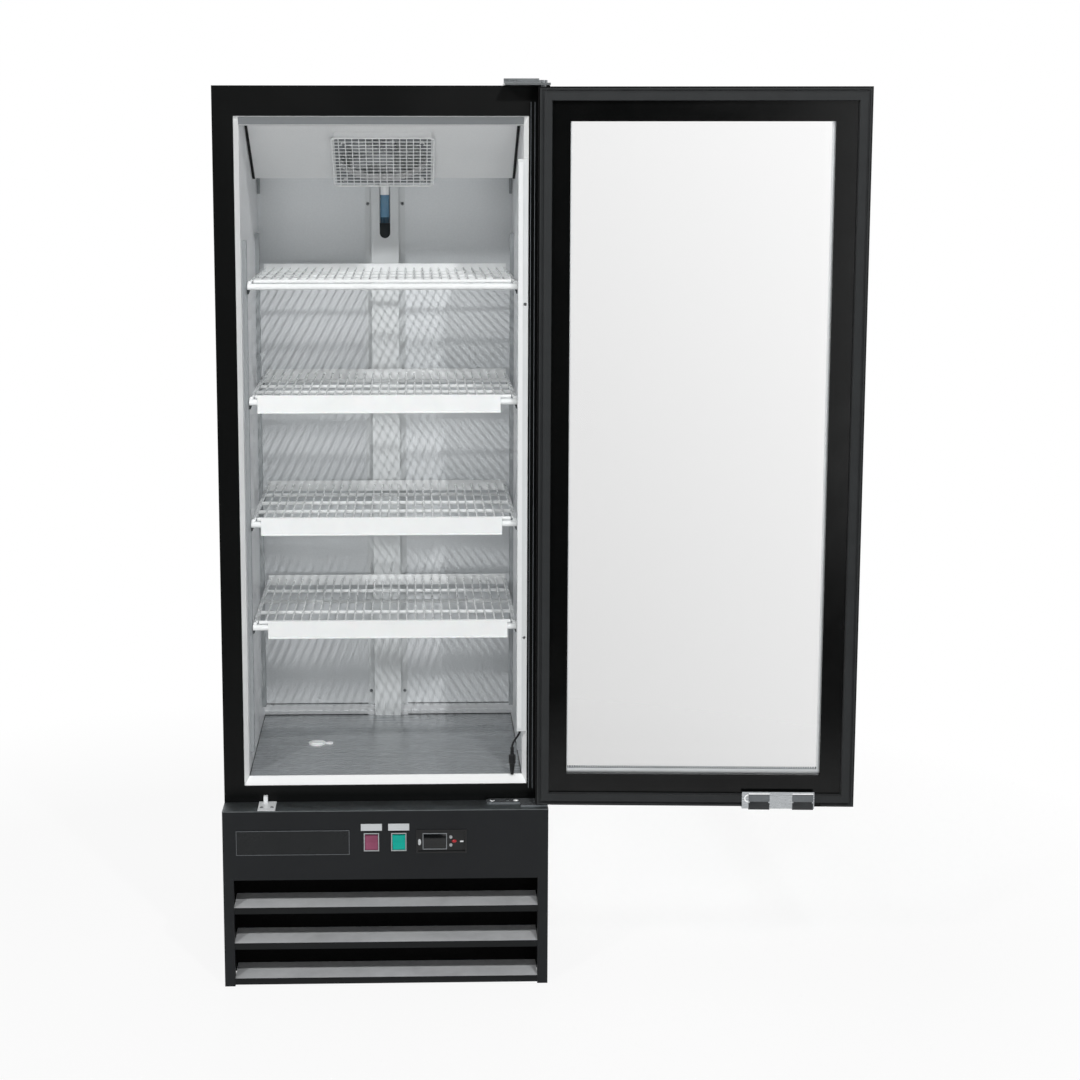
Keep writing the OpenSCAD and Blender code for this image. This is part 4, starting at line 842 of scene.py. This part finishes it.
displayFace = {"low": mm(71.5, 274.5), "high": mm(118.5, 307), "y": -0.2985, "rim": 0.0014,
               "rimProud": 0.0009, "rimEdge": 0.0003, "glassProud": 0.0006, "glassEdge": 0.00025,
               "glass": {"tone": "#0d0f10", "shade": "#08090a", "smooth": 0.06, "rough": 0.14},
               "frame": {"tone": "#8b8f92", "shade": "#74787b", "smooth": 0.3, "rough": 0.42}}
lampMarks = {"y": -0.2985, "thick": 0.0008,
             "red": mm(132.8, 290.5), "redSize": mm(4.6, 3.2),
             "redRise": ((1.0, 0), (0.96, 0.0006), (0.8, 0.001), (0.4, 0.0013), (0, 0.0014)),
             "bar": mm(147.2, 290), "barSize": mm(6.6, 3), "barEdge": 0.0006,
             "redLook": {"tone": "#b3262d", "shade": "#8f1b21", "smooth": 0.15, "rough": 0.28},
             "barLook": {"tone": "#e5e7e8", "shade": "#cfd2d3", "smooth": 0.25, "rough": 0.38}}


def controllerFace(look):
    # a dark window in a thin grey outline
    low, high, y, rim = look["low"], look["high"], look["y"], look["rim"]
    mesh = bmesh.new()
    addRing(mesh, low, high, rim, y, y - look["rimProud"], look["rimEdge"])
    addPiece("displayOutline", mesh, "cabinet",
             mouldedPlastic("displayOutlineGrey", look["frame"]), smooth=False)
    mesh = bmesh.new()
    addBlock(mesh, (low[0] + rim, y - look["glassProud"], low[1] + rim), (high[0] - rim, y, high[1] - rim),
             look["glassEdge"])
    addPiece("displayWindow", mesh, "cabinet",
             mouldedPlastic("displayWindowDark", look["glass"]))


def addOval(mesh, at, half, y, profile):
    # a low dome with an oval foot, on the front panel
    addTurned(mesh, profile, (0, 0, 0), (0, -1, 0), 32)
    for vert in mesh.verts:
        vert.co = Vector((at[0] + vert.co.x * half[0], y + vert.co.y, at[1] + vert.co.z * half[1]))
    bmesh.ops.recalc_face_normals(mesh, faces=mesh.faces)


def controllerMarks(look):
    # an oval lamp and a small pale bar beside the keys
    mesh = bmesh.new()
    addOval(mesh, look["red"], look["redSize"], look["y"], look["redRise"])
    addPiece("controllerLamp", mesh, "cabinet",
             mouldedPlastic("controllerLampRed", look["redLook"]))
    mesh = bmesh.new()
    x, z = look["bar"]
    wide, high = look["barSize"]
    addBlock(mesh, (x - wide / 2, look["y"] - look["thick"], z - high / 2),
             (x + wide / 2, look["y"], z + high / 2), look["barEdge"], 3)
    addPiece("controllerBar", mesh, "cabinet",
             mouldedPlastic("controllerBarPale", look["barLook"]))


controllerFace(displayFace)
controllerMarks(lampMarks)

plateRim = {"low": mm(-289, 266), "high": mm(-70, 315), "width": 0.0012, "y": -0.301,
            "proud": 0.0004, "edge": 0.00015,
            "look": {"tone": "#5d6164", "shade": "#484b4e", "smooth": 0.24, "rough": 0.36}}


def namePlateRim(look):
    mesh = bmesh.new()
    addRing(mesh, look["low"], look["high"], look["width"], look["y"], look["y"] - look["proud"], look["edge"])
    addPiece("namePlateRim", mesh, "cabinet",
             mouldedPlastic("plateRimGrey", look["look"]), smooth=False)


switchFaces = {"at": (-27.5, 25.3),
               "label": {"half": 20.4, "low": 313.6, "high": 327.4, "y": -0.301, "thick": 0.0004, "edge": 0.0002},
               "rim": {"half": 14.7, "tall": 18.0, "middle": 291, "y": -0.3015, "width": 0.0017, "proud": 0.0009,
                       "edge": 0.0003},
               "labelLook": {"tone": "#c6c9cb", "shade": "#b2b6b8", "smooth": 0.3, "rough": 0.45},
               "rimLook": {"tone": "#aeb2b4", "shade": "#989c9f", "smooth": 0.1, "rough": 0.24}}
sideMark = {"at": mm(65.2, 289), "half": mm(3.2, 6.4), "y": -0.2985,
            "rise": ((1.0, 0), (0.95, 0.0004), (0.8, 0.0007), (0.4, 0.0009), (0, 0.001)),
            "look": {"tone": "#c9ccce", "shade": "#aeb2b4", "smooth": 0.15, "rough": 0.3}}


def switchTrim(look):
    # blank pale faces over the two small plates, and a clear rim round each rocker
    faces, rims = bmesh.new(), bmesh.new()
    label, rim = look["label"], look["rim"]
    for x in look["at"]:
        addBlock(faces, (*mm(x - label["half"]), label["y"] - label["thick"], *mm(label["low"])),
                 (*mm(x + label["half"]), label["y"], *mm(label["high"])), label["edge"], 1)
        addRing(rims, mm(x - rim["half"], rim["middle"] - rim["tall"]),
                mm(x + rim["half"], rim["middle"] + rim["tall"]),
                rim["width"], rim["y"], rim["y"] - rim["proud"], rim["edge"])
    addPiece("switchPlateFaces", faces, "cabinet",
             mouldedPlastic("switchPlatePale", look["labelLook"]), smooth=False)
    addPiece("rockerRims", rims, "cabinet",
             mouldedPlastic("rockerRimClear", look["rimLook"]), smooth=False)


def controllerOval(look):
    # a plain pale oval at the left of the display
    mesh = bmesh.new()
    addOval(mesh, look["at"], look["half"], look["y"], look["rise"])
    addPiece("controllerOval", mesh, "cabinet", mouldedPlastic("ovalMarkPale", look["look"]))


namePlateRim(plateRim)
switchTrim(switchFaces)
controllerOval(sideMark)
print("controls built")


# door

doorPaint = {"tone": "#0b0c0d", "shade": "#070808", "shine": 0.2, "smooth": 0.3, "rough": 0.42, "patches": 3.0}
bezelPlastic = {"tone": "#060707", "shade": "#040404", "shine": 0.3, "smooth": 0.14, "rough": 0.24}
gasketRubber = {"tone": "#2d2f30", "shade": "#242526", "shine": 0.2, "smooth": 0.42, "rough": 0.6}
spacerMetal = {"tone": "#eef0f1", "shade": "#cfd3d5", "smooth": 0.24, "rough": 0.4, "along": (12.0, 12.0, 800.0)}
handlePlastic = {"tone": "#1b1d1f", "shade": "#121415", "smooth": 0.26, "rough": 0.42}
bushPlastic = {"tone": "#26282a", "shade": "#1b1d1e", "smooth": 0.35, "rough": 0.5}
lockSheet = {"tone": "#ced1d4", "shade": "#afb3b6", "smooth": 0.2, "rough": 0.34, "along": (12.0, 700.0, 700.0),
             "metal": 0.55}
boltChrome = {"tone": "#d4d7d8", "shade": "#b4b8ba", "smooth": 0.1, "rough": 0.22, "along": (12.0, 500.0, 500.0)}
keyChrome = {"tone": "#cfd2d3", "shade": "#adb1b3", "smooth": 0.12, "rough": 0.26, "along": (300.0, 20.0, 300.0)}
dress("door_frame", paintedSteel("doorPaintBlack", doorPaint))
dress("door_bezel", mouldedPlastic("bezelPlasticBlack", bezelPlastic))
dress("door_gasket", softRubber("gasketRubberGrey", gasketRubber))
dress("glass_spacer", brushedMetal("spacerMetalBar", spacerMetal))
dress("door_handle", mouldedPlastic("handlePlasticBlack", handlePlastic))
dress("hinge_bushes", mouldedPlastic("bushPlasticBlack", bushPlastic))
dress("lock_plate", brushedMetal("lockSheetSteel", lockSheet))
dress("lock_bolt", brushedMetal("boltChromeBar", boltChrome))
dress("lock_cylinder", brushedMetal("keyChromeFace", keyChrome))

# the grey tint on the glass is painted shade, darker toward the low hinge side
glassPane = {"clear": "#ffffff", "shaded": "#ebebeb", "left": 0.333, "right": 0.857, "low": 0.406, "high": 1.686,
             "specks": 90.0, "bend": 1.2, "shadowTint": (0.93, 0.94, 0.94, 1)}


def makeGlassPaintedShade():
    # a faint grey tint, darker toward the low hinge side, with fine specks: painted shade over that side of the
    # glass
    tree, inside, outside = newGroup("glassPaintedShade", [
        ("Clear", "Color", (1, 1, 1, 1)), ("Shaded", "Color", (0.8, 0.8, 0.8, 1)),
        ("Left", "Float", 0.0), ("Right", "Float", 1.0), ("Low", "Float", 0.0), ("High", "Float", 1.0),
        ("Specks", "Float", 90.0)],
        [("Color", "Color")])
    place = addNode(tree, "ShaderNodeTexCoord").outputs["Object"]
    parts = addNode(tree, "ShaderNodeSeparateXYZ")
    tree.links.new(place, parts.inputs[0])
    across = addRange(tree, parts.outputs["X"], inside.outputs["Left"], inside.outputs["Right"], 0.0, 0.32)
    upward = addRange(tree, parts.outputs["Z"], inside.outputs["Low"], inside.outputs["High"], 0.0, 0.6)
    specks = addRange(tree, addNoise(tree, place, inside.outputs["Specks"], 3, 0.6), 0.3, 0.8, 0.02, -0.02)
    unshaded = addMath(tree, "ADD", addMath(tree, "ADD", across, upward), specks, clamp=True)
    tree.links.new(addMix(tree, unshaded, inside.outputs["Shaded"], inside.outputs["Clear"]), outside.inputs["Color"])
    return tree


def clearGlass(name, look):
    # clear pane with a faint grey tint of painted shade, and light passes it on its way to the floor
    material, tree = emptyMaterial(name)
    glassShade = placeGroup(tree, makeGlassPaintedShade(), {
        "Clear": toneOf(look["clear"]), "Shaded": toneOf(look["shaded"]), "Left": look["left"],
        "Right": look["right"], "Low": look["low"], "High": look["high"], "Specks": look["specks"]})
    shader = addNode(tree, "ShaderNodeBsdfPrincipled", None,
                     {"Transmission Weight": 1.0, "IOR": look["bend"], "Roughness": 0.0, "Metallic": 0.0})
    tree.links.new(glassShade.outputs["Color"], shader.inputs["Base Color"])
    through = addNode(tree, "ShaderNodeBsdfTransparent", None, {"Color": look["shadowTint"]})
    path = tree.nodes.new("ShaderNodeLightPath")
    mix = tree.nodes.new("ShaderNodeMixShader")
    result = tree.nodes.new("ShaderNodeOutputMaterial")
    tree.links.new(path.outputs["Is Shadow Ray"], mix.inputs[0])
    tree.links.new(shader.outputs["BSDF"], mix.inputs[1])
    tree.links.new(through.outputs["BSDF"], mix.inputs[2])
    tree.links.new(mix.outputs["Shader"], result.inputs["Surface"])
    return material


dress("door_glass", clearGlass("doorGlassPane", glassPane))

lockGuides = {"left": (79, 163), "width": 40, "top": 58.2, "plate": 1.2,
              "low": -3.3, "tab": 10.3, "neck": 9.0, "bar": 12.8, "high": 25.6,      # heights over the edge
              "deep": 0.4, "tabProud": 0.2, "barProud": 0.35, "rimProud": 0.4, "back": 3,
              "over": 0.3, "neckInset": 2, "tabEdge": 0.0005, "barEdge": 0.0004, "rimEdge": 0.0003,
              "hook": 8.2, "hookOut": 0.6, "hookSunk": 0.2, "band": 2.6, "gap": 1.2, "rim": 2.6,
              # tabLook is painted shade and barLook painted light, the shaded and lit faces of a lug
              "tabLook": {"tone": "#2a2c2e", "shade": "#1f2122", "smooth": 0.32, "rough": 0.46},
              "barLook": {"tone": "#6a6e71", "shade": "#4d5153", "smooth": 0.3, "rough": 0.44, "patches": 260.0},
              "rimLook": {"tone": "#ffffff", "shade": "#eef0f1", "smooth": 0.1, "rough": 0.22,
                          "along": (12.0, 500.0, 500.0), "metal": 0.1}}


def addBentBand(mesh, at, radius, band, y0, y1, steps=14):
    # a flat band bent through half a circle, open toward -x
    rows = []
    for k in range(steps + 1):
        a = math.pi * k / steps - math.pi / 2
        rows.append([mesh.verts.new((at[0] + r * math.cos(a), y, at[1] + r * math.sin(a)))
                     for r, y in ((radius, y0), (radius, y1), (radius - band, y1), (radius - band, y0))])
    for first, second in zip(rows, rows[1:]):
        joinRows(mesh, first, second)
    mesh.faces.new(rows[0])
    mesh.faces.new(rows[-1][::-1])
    bmesh.ops.recalc_face_normals(mesh, faces=mesh.faces)


def guideCovers(look):
    # each bolt guide has a dark tab, a grey bar above it and a bright rolled edge; the dark tab is painted shade
    # and the grey bar painted light, for the shaded and lit faces of a lug
    tabs, bars, rims = bmesh.new(), bmesh.new(), bmesh.new()
    face, back = look["top"] + look["plate"], look["top"] - look["back"]
    sunk, tabFace = face - look["deep"], face + look["tabProud"]
    rimLow = look["high"] + look["gap"]
    over, inset = look["over"], look["neckInset"]
    for x in look["left"]:
        right = x + look["width"]
        addBlock(tabs, mm(x - over, back, look["low"]), mm(right + over, tabFace, look["tab"]), look["tabEdge"])
        addBlock(tabs, mm(x + inset, sunk, look["neck"]), mm(right - inset, tabFace, look["bar"]), look["barEdge"])
        addBlock(bars, mm(x - over, sunk, look["bar"]), mm(right + over, face + look["barProud"], look["high"]),
                 look["barEdge"], 3)
        addBlock(tabs, mm(x, sunk, look["high"]), mm(right, tabFace, rimLow), look["rimEdge"])
        addBlock(rims, mm(x, sunk, rimLow), mm(right, face + look["rimProud"], rimLow + look["rim"]),
                 look["rimEdge"])
    outer = look["left"][1] + look["width"]
    middle = (look["bar"] + look["high"]) / 2
    addBentBand(rims, mm(outer + look["hookOut"], middle),
                *mm(look["hook"], look["band"], face - look["hookSunk"], face + look["rimProud"]))
    addPiece("lockGuideTabs", tabs, "door", mouldedPlastic("guideTabPaintedShade", look["tabLook"]), onDoor)
    addPiece("lockGuideBars", bars, "door", mouldedPlastic("guideBarPaintedLight", look["barLook"]), onDoor)
    addPiece("lockGuideRims", rims, "door", brushedMetal("guideRimBright", look["rimLook"]), onDoor)


spacerVents = {"x": (72, 551), "y": (36.6, 37.8), "z": (71.4, 76.6), "pitch": 4.6, "slot": 2.7,
               "rail": {"inset": 0.3, "high": 1.6},
               "look": {"tone": "#5a5e61", "shade": "#424548", "smooth": 0.5, "rough": 0.7}}


def spacerSlots(look):
    # a perforated dark edge along the lower spacer, between the panes
    mesh = bmesh.new()
    x, end = look["x"]
    y0, y1 = look["y"]
    z0, z1 = look["z"]
    while x < end:
        addBlock(mesh, mm(x, y0, z0), mm(x + look["slot"], y1, z1))
        x += look["pitch"]
    rail = look["rail"]
    addBlock(mesh, mm(look["x"][0], y0 + rail["inset"], z0), mm(end, y1 - rail["inset"], z0 + rail["high"]))
    addPiece("spacerSlots", mesh, "door",
             mouldedPlastic("spacerSlotDark", look["look"]), onDoor, smooth=False)


spacerSlots(spacerVents)
guideCovers(lockGuides)
print("door dressed")


# floor, world and lamps

paleFloor = {"low": (-5.0, -2.0), "high": (5.0, 8.0), "tone": (0.9, 0.9, 0.9, 1), "shown": 0.89, "mirrored": 0.35,
             "fade": (1.1, 1.95)}
worldLight = {"ambient": 0.08, "ahead": 0.95, "behindCamera": 0.04, "turn": (-0.75, 0.35)}
rightKey = {"place": (1.0, -2.9, 3.35), "aim": (0.0, 0.1, 1.0), "size": (0.05, 0.2), "roll": -33, "power": 52}
leftKey = {"place": (-1.6, -2.9, 3.2), "aim": (0.0, 0.1, 1.0), "size": (0.045, 0.16), "roll": 49, "power": 50}
frontFill = {"place": (0.0, -4.6, 0.9), "aim": (0.0, 0, 1.2), "size": (2.2, 1.4), "power": 58, "mirrored": False}
topFill = {"place": (0.2, -0.4, 4.0), "aim": (0.2, 0, 0.8), "size": (3.0, 2.6), "power": 12, "mirrored": False}
rearFill = {"place": (0.3, 3.8, 2.0), "aim": (0.3, 0, 0.8), "size": (2.4, 2.0), "power": 70, "mirrored": False}
sideCard = {"place": (2.0, -4.2, 1.7), "aim": (2.0, 0, 1.7), "size": (1.7, 3.2), "power": 24, "lights": False}


def setFloor(look):
    data = bpy.data.meshes.new("studioFloor")
    (x0, y0), (x1, y1) = look["low"], look["high"]
    data.from_pydata([(x0, y0, 0), (x1, y0, 0), (x1, y1, 0), (x0, y1, 0)], [], [(0, 1, 2, 3)])
    floor = newObject("studioFloor", data)
    material, tree = emptyMaterial("studioFloorPaint")
    matt = addNode(tree, "ShaderNodeBsdfDiffuse", None, {"Color": look["tone"]})
    white = addNode(tree, "ShaderNodeEmission", None, {"Color": (1, 1, 1, 1), "Strength": 1.0})
    path = tree.nodes.new("ShaderNodeLightPath")
    mirrored = addMath(tree, "MULTIPLY", path.outputs["Is Glossy Ray"], look["mirrored"])
    seen = addMath(tree, "MAXIMUM", path.outputs["Is Camera Ray"],
                   addMath(tree, "MAXIMUM", mirrored, path.outputs["Is Transmission Ray"]))
    spot = addNode(tree, "ShaderNodeVectorMath", {"operation": "LENGTH"})
    tree.links.new(addNode(tree, "ShaderNodeTexCoord").outputs["Object"], spot.inputs[0])
    far = addRange(tree, spot.outputs["Value"], *look["fade"], look["shown"], 1.0)
    mix = tree.nodes.new("ShaderNodeMixShader")
    tree.links.new(addMath(tree, "MULTIPLY", seen, far), mix.inputs[0])
    tree.links.new(matt.outputs[0], mix.inputs[1])
    tree.links.new(white.outputs[0], mix.inputs[2])
    result = tree.nodes.new("ShaderNodeOutputMaterial")
    tree.links.new(mix.outputs[0], result.inputs["Surface"])
    material.cycles.emission_sampling = "NONE"
    data.materials.append(material)


def setWorld(look):
    # white where it is seen, soft where it lights, darker on the camera's side where it is mirrored
    world = bpy.data.worlds.new("studioWorld")
    world.use_nodes = True
    bpy.context.scene.world = world
    tree = world.node_tree
    tree.nodes.clear()
    path = tree.nodes.new("ShaderNodeLightPath")
    way = addNode(tree, "ShaderNodeSeparateXYZ")
    tree.links.new(addNode(tree, "ShaderNodeTexCoord").outputs["Generated"], way.inputs[0])
    mirrored = addRange(tree, way.outputs["Y"], *look["turn"], look["behindCamera"], look["ahead"])
    seen = addMath(tree, "MAXIMUM", path.outputs["Is Camera Ray"], path.outputs["Is Transmission Ray"])
    gloss = addMath(tree, "MULTIPLY", path.outputs["Is Glossy Ray"],
                    addMath(tree, "SUBTRACT", mirrored, look["ambient"]))
    level = addMath(tree, "ADD", gloss, look["ambient"])
    strength = addMath(tree, "MULTIPLY_ADD", seen, addMath(tree, "SUBTRACT", 1.0, level), level)
    light = addNode(tree, "ShaderNodeBackground", None, {"Color": (1, 1, 1, 1)})
    tree.links.new(strength, light.inputs["Strength"])
    result = tree.nodes.new("ShaderNodeOutputWorld")
    tree.links.new(light.outputs[0], result.inputs["Surface"])


def addLamp(name, look):
    data = bpy.data.lights.new(name, "AREA")
    data.shape = "RECTANGLE"
    data.size, data.size_y = look["size"]
    data.energy = look["power"]
    lamp = newObject(name, data)
    lamp.location = look["place"]
    aim = Vector(look["aim"]) - Vector(look["place"])
    turn = aim.to_track_quat("-Z", "Y").to_matrix() @ Matrix.Rotation(math.radians(look.get("roll", 0)), 3, "Z")
    lamp.rotation_euler = turn.to_euler()
    lamp.visible_camera = lamp.visible_transmission = False
    lamp.visible_glossy = look.get("mirrored", True)
    lamp.visible_diffuse = look.get("lights", True)


setFloor(paleFloor)
setWorld(worldLight)
for name, look in (("rightKey", rightKey), ("leftKey", leftKey), ("frontFill", frontFill), ("topFill", topFill),
                   ("rearFill", rearFill), ("sideCard", sideCard)):
    addLamp(name, look)
print("studio set")
